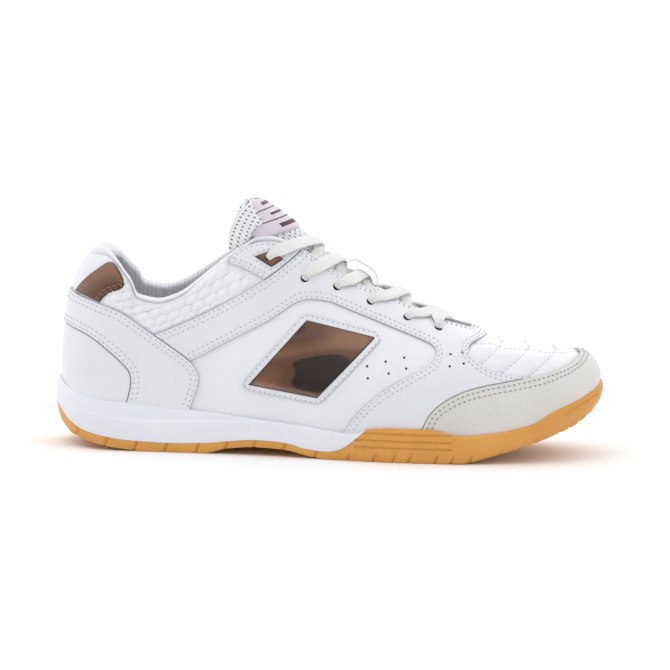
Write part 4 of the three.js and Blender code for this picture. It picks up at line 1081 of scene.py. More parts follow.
around = np.arange(upper["columns"]) / upper["columns"] * 2 * ringHalf
top = topShare(around)
foot = rimShare(around, 4.0)  # the hide ends under the sole's side wall
bead = 0.03  # the share of the form that the rounded top edge takes


def upTheWall(k):
    return foot + (top - bead - foot) * k


outerTop = onForm(around, top - bead, upperLift(around, top - bead))
innerTop = onForm(around, top - bead, -wallAt(around, top - bead))
middle = (outerTop + innerTop) / 2
crest = onForm(around, top - bead / 3, -wallAt(around, top - bead / 3) / 2)


def overTheEdge(turns):
    # rows from the outer face over the top edge to the inner one
    out, up = outerTop - middle, crest - middle
    return [middle + out * math.cos(math.radians(turn)) + up * math.sin(math.radians(turn)) for turn in turns]


leatherRows = []
for k in 1 - (1 - np.linspace(0, 1, upper["rows"])) ** 1.5:
    leatherRows.append(onForm(around, upTheWall(k), upperLift(around, upTheWall(k))))
leatherRows += overTheEdge((30, 60, 90)) + [crest - (crest - middle) * 0.35]
for k in np.linspace(1, 0, upper["innerRows"]):
    leatherRows.append(onForm(around, upTheWall(k), -upper["skin"]))
shellPoints = np.vstack(leatherRows)
shell = meshPiece("upper_leather", shellPoints, ringFaces(len(leatherRows), upper["columns"]), tumbledLeather,
                  {"edge": np.full(len(shellPoints), 9.0)}, sharp=60)
finished(shell, "leather", "upper")

liningRows = [crest - (crest - middle) * 0.3] + overTheEdge((90, 120, 150))
for k in np.linspace(1, 0, upper["liningRows"]):
    liningRows.append(onForm(around, upTheWall(k), -wallAt(around, upTheWall(k))))
for k in (0.0, 0.5, 0.94):
    pad = wallAt(around, upTheWall(k)) - form["wall"]
    liningRows.append(onForm(around, upTheWall(k), -upper["skin"] - 0.15 - 0.2 * pad))
steps = [np.linalg.norm(b - a, axis=1).mean() for a, b in zip(liningRows[:-1], liningRows[1:])]
runUp = np.cumsum([0] + steps)
liningUv = np.stack([np.tile(around / 10, len(liningRows)), np.repeat(runUp / 10, upper["columns"])], 1)
collarLining = meshPiece("collar_lining", np.vstack(liningRows), ringFaces(len(liningRows), upper["columns"]),
                         ribbedLining, uv=liningUv, sharp=60)
finished(collarLining, "mesh")
print("upper ready")

# Panels: each is laid on the form inside its seams
thread = {"pitch": 2.7, "length": 2.1, "thickness": 0.55, "hole": 0.84, "height": 0.4, "lift": 0.06}
stitchRows = {"white": [], "grey": [], "brown": []}


def lowLine(start, end):
    around = np.linspace(start, end, max(2, int(abs(end - start) / 2)))
    return np.stack([around, rimShare(around, 1.2)], 1)


def downToRim(line):
    # keeps the seam until it goes under the sole's side wall
    low = rimShare(line[:, 0], 1.2)
    below = np.where(line[:, 1] < low)[0]
    if not len(below):
        return line
    k = below[0]
    t = (line[k - 1, 1] - low[k - 1]) / ((line[k - 1, 1] - low[k - 1]) - (line[k, 1] - low[k]))
    return np.vstack([line[:k], line[k - 1] + (line[k] - line[k - 1]) * t])


def within(loop, places):
    return insideOf(loop, places[:, 0], places[:, 1])


def sewn(loop, line, distances, height, kind="white"):
    # rows of stitches beside a line, on the side that lies within the loop
    for distance in distances:
        row = spaced(line, 1.0)
        tries = [inset(row, distance, False), inset(row, -distance, False)]
        row = tries[int(np.argmax([within(loop, row).sum() for row in tries]))]
        good = within(loop, row) & (row[:, 1] > rimShare(row[:, 0], 0.0) + 0.01)
        for part in np.split(row, np.where(~good)[0]):
            part = part[within(loop, part)]
            if len(part) > 6:
                stitchRows[kind].append((part[1:-1], height))


both = {side: {} for side in (-1, 1)}
for side in (-1, 1):
    for name in ("heelBand", "counter"):
        line = onSide(seamLine(name), side)
        # the seam starts where it leaves the heel's silhouette
        start = int(np.argmin(np.abs(line[:, 0])))
        both[side][name] = downToRim(line[start:])

heelLines = {}
for name in ("heelBand", "counter"):
    middle = (both[-1][name][0, 1] + both[1][name][0, 1]) / 2
    # from the medial foot over the heel to the lateral foot
    heelLines[name] = np.vstack([both[1][name][::-1], [[0.0, middle]], both[-1][name]])

counter = heelLines["counter"]
counterLoop = loopOf(counter, lowLine(counter[-1, 0], counter[0, 0]))
panel("heel_counter_leather", counterLoop, plainGrainLeather, "leather", ("heel_counter",),
      height=form["counterHeight"])
band = heelLines["heelBand"]
counterOut = inset(spaced(counter, 1.2), 0.3, closed=False)
bandFeet = lowLine(band[-1, 0], counterOut[-1, 0]), lowLine(counterOut[0, 0], band[0, 0])
bandLoop = loopOf(band, bandFeet[0], counterOut[::-1], bandFeet[1])
panel("heel_band_leather", bandLoop, fullGrainLeather, "leather", ("heel_band",), height=form["bandHeight"])

sewn(bandLoop, band, (1.5, 3.9), form["bandHeight"])
sewn(bandLoop, counterOut, (1.6, 4.0), form["bandHeight"])

# toe cap: from the lateral foot over the toe to the medial foot
toeLines = {}
for side in (-1, 1):
    line = onSide(seamLine("toeCap"), side)
    line = line[np.argsort(np.abs(line[:, 0]))]
    toeLines[side] = pastToe(line)
low = downToRim(toeLines[-1][::-1])[::-1], downToRim(toeLines[1][::-1])[::-1]
middle = (low[0][-1, 1] + low[1][-1, 1]) / 2
capLine = np.vstack([low[0], [[ringHalf, middle]], low[1][::-1]])
capLoop = loopOf(capLine, lowLine(capLine[-1, 0], capLine[0, 0]))
panel("toe_cap_suede", capLoop, splitSuede, "suede", ("toe_cap",), height=form["capHeight"])

sewn(capLoop, capLine, (2.0, 4.4), form["capHeight"], "grey")

# saddle: eyestays, the bridge before the throat and the straps down to the sole
saddleParts = {}
for side in (-1, 1):
    bandXz, windowXz, topXz = seamLine("heelBand"), seamLine("window"), seamLine("saddleTop")
    frontXz, capXz = seamLine("saddleFront"), seamLine("toeCap")
    bandUp = upTo(bandXz, windowXz)
    parts = {
        "top": onSide(fromOn(topXz, bandXz), side),
        "back": onSide(fromOn(bandUp, topXz), side),
        "window": onSide(fromOn(windowXz, bandXz), side),
        "cap": onSide(upTo(capXz, frontXz), side),
        "front": onSide(upTo(frontXz, capXz), side),
    }
    parts = {name: pastToe(line) for name, line in parts.items()}
    # the top seam ends at the throat's edge, and the straps end at the sole
    top = parts["top"]
    parts["top"] = top[top[:, 1] < edgeShare(top[:, 0])]
    parts["window"] = downToRim(parts["window"])
    parts["cap"] = downToRim(parts["cap"][::-1])
    saddleParts[side] = parts


def throatLine(start, end):
    around = np.linspace(start, end, max(2, int(abs(end - start) / 1.0)))
    return np.stack([around, edgeShare(around)], 1)


lat, med = saddleParts[-1], saddleParts[1]
frontMiddle = (lat["front"][0, 1] + med["front"][0, 1]) / 2
saddleLoop = loopOf(
    lat["top"],
    throatLine(lat["top"][-1, 0], med["top"][-1, 0]),
    med["top"][::-1],
    med["back"],
    med["window"],
    lowLine(med["window"][-1, 0], med["cap"][-1, 0]),
    med["cap"][::-1],
    med["front"][::-1],
    np.array([med["front"][0], [ringHalf, frontMiddle], lat["front"][0]]),
    lat["front"],
    lat["cap"],
    lowLine(lat["cap"][-1, 0], lat["window"][-1, 0]),
    lat["window"][::-1],
    lat["back"][::-1],
)
panel("saddle_leather", inset(saddleLoop, 0.15), fullGrainLeather, "leather", ("saddle",))

# quilting stitches of the toe box, along it and across it
for side in (-1, 1):
    level = np.linspace(207, 281, 75)
    lines = [np.stack([level, quiltLevel(level)], 1)]
    for step in range(5):
        up = np.linspace(40, 67, 45)
        lines.append(np.stack([quilt["start"] + quilt["step"] * step + quilt["slope"] * up, up], 1))
    for line in lines:
        row = pastToe(onSide(line, side))
        free = ~within(saddleLoop, row) & ~within(capLoop, row)
        free &= bare(row[:, 0], row[:, 1])[:, 0] > upper["toeBox"]
        for part in np.split(row, np.where(~free)[0]):
            part = part[~within(saddleLoop, part) & ~within(capLoop, part)]
            if len(part) > 4:
                stitchRows["white"].append((spaced(part, 1.0)[1:], None))
for parts in (lat, med):
    sewn(saddleLoop, parts["top"], (1.5, 3.9), form["overlay"])
    sewn(saddleLoop, parts["window"], (1.5, 3.9), form["overlay"])
    sewn(saddleLoop, parts["front"], (1.6, 3.6), form["overlay"])
throat = throatLine(lat["top"][-1, 0], med["top"][-1, 0])
sewn(saddleLoop, throat, (1.6, 3.4), form["overlay"])

# eyelet tabs, patches and the side badge
for side, name in ((-1, "lateral"), (1, "medial")):
    tab = pastToe(onSide(seamLine("eyeletTab"), side))
    tab = tab[tab[:, 1] < edgeShare(tab[:, 0])]
    top = lat["top"] if side < 0 else med["top"]
    gaps = np.linalg.norm(bare(top[:, 0], top[:, 1]) - bare(tab[-1:, 0], tab[-1:, 1]), axis=1)
    meet = int(np.argmin(gaps))
    tabLoop = loopOf(tab, top[meet:], throatLine(top[-1, 0], tab[0, 0]))
    panel(f"eyelet_tab_{name}_leather", inset(tabLoop, 0.2), fullGrainLeather, "leather",
          (f"eyelet_tab_{name}",))
    sewn(tabLoop, tab, (1.4, 3.2), form["overlay"])
    sewn(tabLoop, throatLine(top[-1, 0], tab[0, 0]), (1.6,), form["overlay"])
    diamond = pastToe(onSide(straightSides("diamond", 9), side))
    sewn(tabLoop, inset(loopOf(diamond), -1.4), (0.0,), form["overlay"])
    panel(f"eyelet_diamond_{name}_patent", loopOf(diamond), bronzePatent, "patent",
          (f"eyelet_diamond_{name}",), base=form["overlay"], height=0.65)
    patchPlaces = onSide(seamLine("collarPatch"), side)
    bandLine = both[side]["heelBand"]
    bandHere = np.interp(np.abs(patchPlaces[:, 0]), np.abs(bandLine[:, 0]), bandLine[:, 1])
    patchPlaces = patchPlaces[patchPlaces[:, 1] > bandHere + 0.003]
    closing = np.vstack([patchPlaces[-1:], patchPlaces[:1]])
    patchLoop = loopOf(patchPlaces, closing)
    sewn(patchLoop, patchPlaces, (1.2, 2.5), 1.1, "brown")
    panel(f"collar_patch_{name}_patent", patchLoop, bronzePatent, "patent",
          (f"collar_patch_{name}",), base=0.2, height=0.9)
print("panels ready")

# Side badge: a plain bronze plate on a raised white border; the medial side has none
badge = {"border": 3.2, "borderHeight": 1.0, "plateHeight": 0.55}
badgeLoop = loopOf(pastToe(onSide(straightSides("badge", 24), -1)))
borderLoop = inset(badgeLoop, -badge["border"])
sewn(borderLoop, np.vstack([borderLoop, borderLoop[:1]]), (0.8,), badge["borderHeight"])
panel("badge_border_leather", borderLoop, plainGrainLeather, "leather", height=badge["borderHeight"])
panel("side_badge_patent", badgeLoop, bronzePatent, "patent", ("side_badge",),
      base=badge["borderHeight"] - 0.1, height=badge["plateHeight"])

# Tongue, its label and the loop that holds the laces
tongueTable = [  # along, up, half width, how far the edges fall and lie back
    (0.77, 0.57, 0.22, 0.02, 0), (0.73, 0.62, 0.29, 0.035, 0), (0.69, 0.668, 0.32, 0.05, 0),
    (0.625, 0.755, 0.37, 0.085, 0.015), (0.52, 0.91, 0.4, 0.145, 0.05), (0.476, 1.0, 0.36, 0.155, 0.09),
    (0.448, 1.075, 0.34, 0.13, 0.128), (0.42, 1.138, 0.35, 0.09, 0.11), (0.39, 1.193, 0.39, 0.05, 0.07),
    (0.361, 1.238, 0.44, 0.015, 0.028),
]
tongue = {"thickness": 4.5, "rows": 110, "columns": 64, "labelRuns": (10 / 14, 0.995), "labelHalf": 0.76,
          "keeperHalf": 4.5, "keeperHeight": 6.8, "keeperThickness": 1.2}
tongueRuns = np.linspace(0, 1, len(tongueTable))
tongueUnits = (form["length"], form["collar"], form["halfBall"], form["collar"], form["length"])
tongueAt = [curveThrough(tongueRuns, column(tongueTable, k, size)) for k, size in enumerate(tongueUnits)]


def tongueBare(run, across):
    along, up, half, fall, back = [at(run) for at in tongueAt]
    turn = across * halfPi
    bend = 1 - np.cos(turn)
    return np.stack([along - back * bend, half * np.sin(turn), up - fall * bend], -1)


def onTongue(run, across, lift):
    low, high = np.clip(run - 0.01, 0, 1), np.clip(run + 0.01, 0, 1)
    upward = tongueBare(high, across) - tongueBare(low, across)
    sideways = tongueBare(run, across + 0.01) - tongueBare(run, across - 0.01)
    normal = unit(np.cross(sideways, upward))
    normal = np.where(normal[..., 2:] < 0, -normal, normal)
    return tongueBare(run, across) + normal * np.broadcast_to(lift, run.shape)[..., None]


def slab(runs, acrosses, outer, inner, rows, columns):
    # a closed pad on the tongue: its outer and inner faces meet in a rounded edge
    run, across = np.meshgrid(np.linspace(*runs, rows), np.linspace(*acrosses, columns), indexing="ij")
    s, t = np.meshgrid(np.linspace(0, 1, rows), np.linspace(-1, 1, columns), indexing="ij")
    high, low = outer(s, t), inner(s, t)
    points = np.vstack([onTongue(run, across, face).reshape(-1, 3) for face in (high, low)])
    count = rows * columns
    # run goes up the tongue and across to the medial side, so the outer face is turned over
    faces = [gridFaces(rows, columns), gridFaces(rows, columns, start=count, flip=True)]
    grid = np.arange(count).reshape(rows, columns)
    border = np.concatenate([grid[0], grid[1:-1, -1], grid[-1, ::-1], grid[-2:0:-1, 0]])
    ahead = np.roll(border, -1)
    faces.append(np.stack([border + count, ahead + count, ahead, border], 1))
    uv = np.stack([t.ravel() / 2 + 0.5, s.ravel()], 1)
    return points, np.vstack(faces), np.vstack([uv, uv])


def outward(points, faces):
    # turns every face over if the closed mesh is inside out
    a, b, c, d = [points[faces[:, k]] for k in range(4)]
    volume = (a * np.cross(b, c)).sum() + (a * np.cross(c, d)).sum()
    return faces if volume > 0 else faces[:, ::-1]


def roundEnd(s, width):
    near = np.clip((s - (1 - width)) / width, 0, 1)
    return np.sqrt(np.clip(1 - near**2, 0, 1))


def tongueThick(s, t):
    return tongue["thickness"] * (1 - 0.75 * t**2)


points, faces, uv = slab(
    (0, 1), (-1, 1),
    lambda s, t: -tongueThick(s, t) / 2 * (1 - roundEnd(s, 0.03) * roundEnd(np.abs(t), 0.05)),
    lambda s, t: -tongueThick(s, t) / 2 * (1 + roundEnd(s, 0.03) * roundEnd(np.abs(t), 0.05)),
    tongue["rows"], tongue["columns"],
)
grid = points[: tongue["rows"] * tongue["columns"]].reshape(tongue["rows"], tongue["columns"], 3)
across = np.cumsum(np.linalg.norm(np.diff(grid, axis=1, prepend=grid[:, :1]), axis=2), axis=1)
upward = np.cumsum(np.linalg.norm(np.diff(grid, axis=0, prepend=grid[:1]), axis=2).mean(1))
across = across - across[:, tongue["columns"] // 2, None]
uv = np.stack([across, np.broadcast_to(upward[:, None], across.shape)], -1)
uv = np.tile(uv.reshape(-1, 2) / 10, (2, 1))
tonguePad = meshPiece("tongue_mesh", points, outward(points, faces), airMesh, uv=uv, sharp=80)
finished(tonguePad, "mesh", "tongue")


def soften(s, t, edge):
    # 1 in the middle of a pad, falling to 0 at its border
    return np.minimum(1, np.minimum(np.minimum(s, 1 - s) / edge, (1 - np.abs(t)) / edge)) ** 0.5


points, faces, uv = slab(
    tongue["labelRuns"], (-tongue["labelHalf"], tongue["labelHalf"]),
    lambda s, t: 0.5 + 0.6 * soften(s, t, 0.06), lambda s, t: 0.3 + 0 * s, 60, 60,
)
tongueLabel = meshPiece("tongue_label_cloth", points, outward(points, faces), wovenLabel, uv=uv, sharp=70)
finished(tongueLabel, "label", "tongue_label")


def runAt(along):
    return shareWhere(tongueAt[0], along * form["length"], 1)[0]


keeperRuns = (runAt(0.58), runAt(0.518))
keeperHalf = math.asin(tongue["keeperHalf"] / float(tongueAt[2](np.array(keeperRuns[1])))) / halfPi


def arch(s):
    # the loop's rise over the tongue
    return 0.1 + tongue["keeperHeight"] * (1 - (2 * s - 1) ** 4)


points, faces, uv = slab(
    keeperRuns, (-keeperHalf, keeperHalf),
    lambda s, t: arch(s) + tongue["keeperThickness"] * (0.6 + 0.4 * soften(0.5 + 0 * s, t, 0.25)),
    lambda s, t: arch(s) + 0.15 * (1 - soften(0.5 + 0 * s, t, 0.25)), 36, 16,
)
keeper = meshPiece("lace_keeper_leather", points, outward(points, faces), plainGrainLeather,
                   {"edge": np.full(len(points), 5.0)}, sharp=50)
finished(keeper, "leather", "lace_keeper")
print("tongue ready")

# Laces: flat strands that come out of the eyelets, cross in the middle and go under the other side
lace = {"width": 7.0, "thickness": 1.9, "underDepth": 3.4}
eyelets = [  # along, up, and where the lace crosses the middle: along in mm and its top in mm
    (0.3845, 0.958, 136.0, 109.7), (0.449, 0.863, 147.8, 101.2), (0.506, 0.821, 160.4, 93.0),
    (0.567, 0.752, 182.0, 84.9), (0.633, 0.679, 200.3, 75.7), (0.69, 0.63, 204.5, 73.0),
]
diveAt = (135.0, 148.5, 164.0, 183.5, 199.5)


def eyeletPlace(k, side):
    x = min(eyelets[k][0] * form["length"], form["toePivot"])
    around = -side * (x - first)
    outs, ups = formRows(np.array([x]), np.array([-1.0]))
    slopes = slopesOf(formSteps, ups, False)
    share = shareWhere(lambda s: hermite(formSteps, ups, slopes, s), eyelets[k][1] * form["collar"], 1)[0]
    return around % (2 * ringHalf), share


def liftedPlace(around, share, lift):
    around, share = np.array([around]), np.array([share])
    return onForm(around, share, lift)[0], normalAt(around, share)[0]


def strandPath(k, side):
    # control points and normals from one eyelet to beneath the other side
    around, share = eyeletPlace(k, side)
    stack = form["overlay"] + (0.75 if k == 0 else 0.1)
    x, z = eyelets[k][2], eyelets[k][3] - lace["thickness"] / 2
    z -= 0 if side < 0 else lace["thickness"] + 0.25
    if k == 5:
        z = eyelets[k][3] - lace["thickness"] / 2
    edgeX = eyelets[k][0] * form["length"] * 0.45 + x * 0.55
    edgeAround = (-side * (min(edgeX, form["toePivot"]) - first)) % (2 * ringHalf)
    edgeShare = float(topShare(np.array([edgeAround]))[0])
    toward = (share * 0.78 + edgeShare * 0.22, around * 0.78 + edgeAround * 0.22)
    path = [
        liftedPlace(around, share, -1.2),
        liftedPlace(around, share, stack + 0.1),
        liftedPlace(toward[1], toward[0], stack + lace["thickness"] / 2 + 0.35),
        liftedPlace(edgeAround, edgeShare - 0.01, form["overlay"] + lace["thickness"] / 2 + 0.5),
        (np.array([x, 0.0, z]), np.array([0.55, 0.0, 0.83])),
    ]
    if k == 5:
        mirrored = [(p * [1, -1, 1], n * [1, -1, 1]) for p, n in path[:-1]]
        return path + mirrored[::-1]
    nextAround, nextShare = eyeletPlace(k + 1, -side)
    diveAround = (side * (min(diveAt[k], form["toePivot"]) - first)) % (2 * ringHalf)
    diveShare = float(topShare(np.array([diveAround]))[0])
    path.append(liftedPlace(diveAround, diveShare - 0.005, -lace["underDepth"] * 0.8))
    under = np.array([nextAround, nextShare]) * 0.6 + np.array([diveAround, diveShare]) * 0.4
    path.append(liftedPlace(under[0], under[1], -lace["underDepth"]))
    return path


def strandMesh(path, barred=False):
    knots = np.array([p for p, _ in path])
    ups = unit(np.array([n for _, n in path]))
    line, normals = drawn(knots, 1.0), drawnUps(knots, ups, 1.0)
    tangent = unit(np.gradient(line, axis=0))
    wide = unit(np.cross(normals, tangent))
    up = np.cross(tangent, wide)
    # the lace is bunched where it comes out of its eyelet
    out = np.linalg.norm(line - line[0], axis=1)
    spread = 0.5 + 0.5 * smooth((out - 2.5) / 7.0)
    if barred:
        spread = np.minimum(spread, spread[::-1])
    angles = np.linspace(0, 2 * math.pi, 16, endpoint=False)
    power = 0.7
    c = np.sign(np.cos(angles)) * np.abs(np.cos(angles)) ** power
    s = np.sign(np.sin(angles)) * np.abs(np.sin(angles)) ** power
    rings = (line[:, None] + (wide * spread[:, None])[:, None] * (c * lace["width"] / 2)[None, :, None]
             + (up * (1.25 - 0.25 * spread[:, None]))[:, None] * (s * lace["thickness"] / 2)[None, :, None])
    count = len(line)
    run = np.concatenate([[0], np.cumsum(np.linalg.norm(np.diff(line, axis=0), axis=1))])
    uv = np.stack([np.tile((c + 1) * lace["width"] / 20, count), np.repeat(run / 10, 16)], 1)
    faces = [tuple(f) for f in gridFaces(count, 16, closed=True)]
    faces += [tuple(range(16))[::-1], tuple((count - 1) * 16 + np.arange(16))]
    return rings.reshape(-1, 3), faces, uv


def drawnUps(knots, ups, spacing):
    normals = []
    for k in range(len(knots) - 1):
        steps = max(2, int(np.linalg.norm(knots[k + 1] - knots[k]) / spacing))
        t = (np.arange(steps) / steps)[:, None]
        normals.append(ups[k] * (1 - t) + ups[k + 1] * t)
    return unit(np.vstack(normals + [ups[-1:]]))


lacePoints, laceFaces, laceUv, start = [], [], [], 0
for k in range(6):
    for side in (-1, 1):
        if k == 5 and side > 0:
            continue
        points, faces, uv = strandMesh(strandPath(k, side), k == 5)
        lacePoints.append(points)
        laceFaces += [tuple(int(i) + start for i in face) for face in faces]
        laceUv.append(uv)
        start += len(points)
laces = meshPiece("laces_polyester", np.vstack(lacePoints), laceFaces, polyesterLace,
                  uv=np.vstack(laceUv), sharp=60)
finished(laces, "lace", "laces")
laceLength = sum(uv[-1, 1] for uv in laceUv) * 10
print(f"laces ready: {len(laceUv)} runs, {laceLength:.0f} mm in all")

# Stitches and round holes: Geometry Nodes set them along rows and on points
def treeWith(name, inputs):
    tree = bpy.data.node_groups.new(name, "GeometryNodeTree")
    for label, kind in inputs:
        tree.interface.new_socket(name=label, in_out="INPUT", socket_type=kind)
    tree.interface.new_socket(name="Result", in_out="OUTPUT", socket_type="NodeSocketGeometry")
    return tree, add(tree, "NodeGroupInput"), add(tree, "NodeGroupOutput")


def standing(tree, tangent):
    # a rotation with X along the tangent, if there is one, and Z along the surface's normal
    named = add(tree, "GeometryNodeInputNamedAttribute", {"data_type": "FLOAT_VECTOR"}, {"Name": "up"})
    up = named.outputs["Attribute"]
    if tangent is None:
        return add(tree, "FunctionNodeAlignRotationToVector", {"axis": "Z"}, None, {"Vector": up}).outputs[0]
    alongIt = add(tree, "FunctionNodeAlignRotationToVector", {"axis": "X"}, None, {"Vector": tangent})
    return add(tree, "FunctionNodeAlignRotationToVector", {"axis": "Z", "pivot_axis": "X"}, None,
               {"Rotation": alongIt.outputs[0], "Vector": up}).outputs[0]


def scattered(tree, places, shape, rotation, sizes):
    # the shape on every place, turned, and sized along its three directions
    scale = add(tree, "ShaderNodeCombineXYZ", None, None, dict(enumerate(sizes)))
    return add(tree, "GeometryNodeInstanceOnPoints", None, None, {
        "Points": places, "Instance": shape.outputs[0], "Rotation": rotation, "Scale": scale.outputs[0],
    }).outputs[0]


def painted(tree, geometry, paint):
    links = {"Geometry": geometry, "Material": paint}
    return add(tree, "GeometryNodeSetMaterial", None, None, links).outputs[0]


def stitchTree():
    tree, start, end = treeWith("stitch_rows", [("Rows", "NodeSocketGeometry")] + [
        (name, "NodeSocketFloat") for name in ("Pitch", "Length", "Thickness", "Height", "Hole")
    ] + [("Thread", "NodeSocketMaterial"), ("Dark", "NodeSocketMaterial")])
    given = start.outputs
    curves = add(tree, "GeometryNodeMeshToCurve", None, None, {"Mesh": given["Rows"]})
    points = add(tree, "GeometryNodeCurveToPoints", {"mode": "LENGTH"}, None,
                 {"Curve": curves.outputs[0], "Length": given["Pitch"]})
    rotation = standing(tree, points.outputs["Tangent"])
    places = points.outputs["Points"]
    bead = add(tree, "GeometryNodeMeshUVSphere", None, {"Segments": 6, "Rings": 4, "Radius": 0.5})
    dot = add(tree, "GeometryNodeMeshIcoSphere", None, {"Radius": 0.5, "Subdivisions": 1})
    threads = scattered(tree, places, bead, rotation, (given["Length"], given["Thickness"], given["Height"]))
    holes = scattered(tree, places, dot, rotation, (given["Hole"], given["Hole"], given["Height"]))
    # the needle's holes lie halfway between the stitches
    halfPitch = add(tree, "ShaderNodeMath", {"operation": "MULTIPLY"}, {1: 0.5}, {0: given["Pitch"]})
    ahead = add(tree, "ShaderNodeCombineXYZ", None, None, {0: halfPitch.outputs[0]})
    moved = add(tree, "GeometryNodeTranslateInstances", None, {"Local Space": True},
                {"Instances": holes, "Translation": ahead.outputs[0]}).outputs[0]
    joined = add(tree, "GeometryNodeJoinGeometry")
    tree.links.new(painted(tree, threads, given["Thread"]), joined.inputs[0])
    tree.links.new(painted(tree, moved, given["Dark"]), joined.inputs[0])
    real = add(tree, "GeometryNodeRealizeInstances", None, None, {0: joined.outputs[0]})
    tree.links.new(real.outputs[0], end.inputs[0])
    return tree


def spotTree(name, kind, values):
    # one solid standing on each place
    tree, start, end = treeWith(name, [
        ("Places", "NodeSocketGeometry"), ("Radius", "NodeSocketFloat"), ("Height", "NodeSocketFloat"),
        ("Paint", "NodeSocketMaterial"),
    ])
    given = start.outputs
    spots = scattered(tree, given["Places"], add(tree, kind, None, values), standing(tree, None),
                      (given["Radius"], given["Radius"], given["Height"]))
    real = add(tree, "GeometryNodeRealizeInstances", None, None, {0: spots})
    tree.links.new(painted(tree, real.outputs[0], given["Paint"]), end.inputs[0])
    return tree


def grown(name, points, ups, edges, tree, inputs, slot):
    # runs the tree on bare points or rows and keeps its result as a plain mesh
    mesh = bpy.data.meshes.new(name)
    mesh.from_pydata(((np.asarray(points) + form["middle"]) / 1000).tolist(), edges, [])
    normals = mesh.attributes.new("up", "FLOAT_VECTOR", "POINT")
    normals.data.foreach_set("vector", np.asarray(ups, np.float32).ravel())
    piece = bpy.data.objects.new(name, mesh)
    scene.collection.objects.link(piece)
    modifier = piece.modifiers.new(name, "NODES")
    modifier.node_group = tree
    for item in tree.interface.items_tree:
        if item.in_out == "INPUT" and item.name in inputs:
            modifier[item.identifier] = inputs[item.name]
    graph = bpy.context.evaluated_depsgraph_get()
    result = bpy.data.meshes.new_from_object(piece.evaluated_get(graph), depsgraph=graph)
    piece.modifiers.clear()
    piece.data = result
    result.shade_smooth()
    return finished(piece, slot)


stitches = stitchTree()
holes = spotTree("round_holes", "GeometryNodeMeshCylinder", {"Vertices": 16, "Radius": 1.0, "Depth": 1.0})
threads = {"white": whiteThread, "grey": greyThread, "brown": goldThread}
for kind, rows in stitchRows.items():
    for sideName, sign in (("lateral", -1), ("medial", 1)):
        points, ups, edges = [], [], []
        for row, height in rows:
            progress, rowSide = sideOf(row[:, 0])
            runs = np.split(np.arange(len(row)), np.where(np.diff(rowSide) != 0)[0] + 1)
            for run in runs:
                if rowSide[run[0]] != sign or len(run) < 3:
                    continue
                start = len(points)
                seat = upperLift(row[run, 0], row[run, 1]) if height is None else height
                points += list(onForm(row[run, 0], row[run, 1], seat + thread["lift"]))
                ups += list(normalAt(row[run, 0], row[run, 1]))
                edges += [(start + k, start + k + 1) for k in range(len(run) - 1)]
        if points:
            grown(f"stitches_{kind}_{sideName}", points, ups, edges, stitches, {
                "Pitch": thread["pitch"] / 1000, "Length": thread["length"] / 1000,
                "Thickness": thread["thickness"] / 1000, "Hole": thread["hole"] / 1000,
                "Height": thread["height"] / 1000,
                "Thread": threads[kind], "Dark": needleHoleShade,
            }, "leather")
print("stitches ready")

# Perforations of the vamp, and the eyelet holes the laces come out of
perforations = [(153.4, 45.6), (162.6, 48.1), (172.0, 50.7), (181.4, 52.8), (163.1, 42.1), (173.6, 44.9),
                (182.5, 47.5), (205.0, 54.2), (211.1, 55.0), (204.6, 48.5), (211.8, 49.9)]
vents = np.vstack([pastToe(onSide(np.array(perforations), side)) for side in (-1, 1)])
onSaddle = insideOf(saddleLoop, vents[:, 0], vents[:, 1])
ventLift = np.where(onSaddle, form["overlay"], upperLift(vents[:, 0], vents[:, 1]))
ventUps = normalAt(vents[:, 0], vents[:, 1])
# each hole is a near-black disc of painted shade
grown("vamp_perforations", onForm(vents[:, 0], vents[:, 1], ventLift - 0.1), ventUps, [], holes,
      {"Radius": 0.00062, "Height": 0.0004, "Paint": holeShade}, "leather")
eyes = np.array([eyeletPlace(k, side) for k in range(6) for side in (-1, 1)])
eyeLift = np.array([form["overlay"] + (0.62 if k < 2 else 0.0) for k in range(12)])
eyeUps = normalAt(eyes[:, 0], eyes[:, 1])
grown("eyelet_openings", onForm(eyes[:, 0], eyes[:, 1], eyeLift), eyeUps, [], holes,
      {"Radius": 0.0021, "Height": 0.0003, "Paint": holeShade}, "leather")

# Footbed with a cupped rim
cup = 1.6  # the footbed's middle lies this much below its rim
around = np.arange(columns) / columns * 2 * ringHalf
footRows = []
for inward, up in ((0.0, 0.0), (0.0, 3.6), (0.5, 4.1), (1.3, 3.9)):  # the cushion's edge, 3.6 mm thick
    row = onForm(around, np.full(columns, 0.001), -form["wall"] - 0.35 - inward)
    row[:, 2] = bare(around, np.zeros(columns))[:, 2] + up
    footRows.append(row)
footPoints = np.vstack(footRows)
footFaces = [gridFaces(len(footRows), columns, closed=True)]
above = rungs(footRows[-1], 30, lambda p, t: 0 * p[..., 0])
lateralSide, medialSide = footRows[-1][: half + 1], np.vstack([footRows[-1][:1], footRows[-1][:half - 1:-1]])
t = np.linspace(0, 1, 31)[1:-1, None]
rimLevel = lateralSide[None, :, 2] * (1 - t) + medialSide[None, :, 2] * t
width = np.linalg.norm(lateralSide - medialSide, axis=1)[None]
above[:, 2] = (rimLevel - cup * smooth(np.minimum(t, 1 - t) * width / 14)).ravel()
footFaces.append(rungFaces(len(footPoints), (len(footRows) - 1) * columns, 30, False))
footPoints = np.vstack([footPoints, above])
below = rungs(footRows[0], 4, lambda p, t: (footRows[0][: half + 1, 2])[None] + 0 * p[..., 0])
footFaces.append(rungFaces(len(footPoints), 0, 4, True))
footPoints = np.vstack([footPoints, below])
cloth = meshPiece("footbed", footPoints, allOf(footFaces), footbedCloth,
                  uv=footPoints[:, :2] / 10, sharp=60)
finished(cloth, "footbed", "insole")

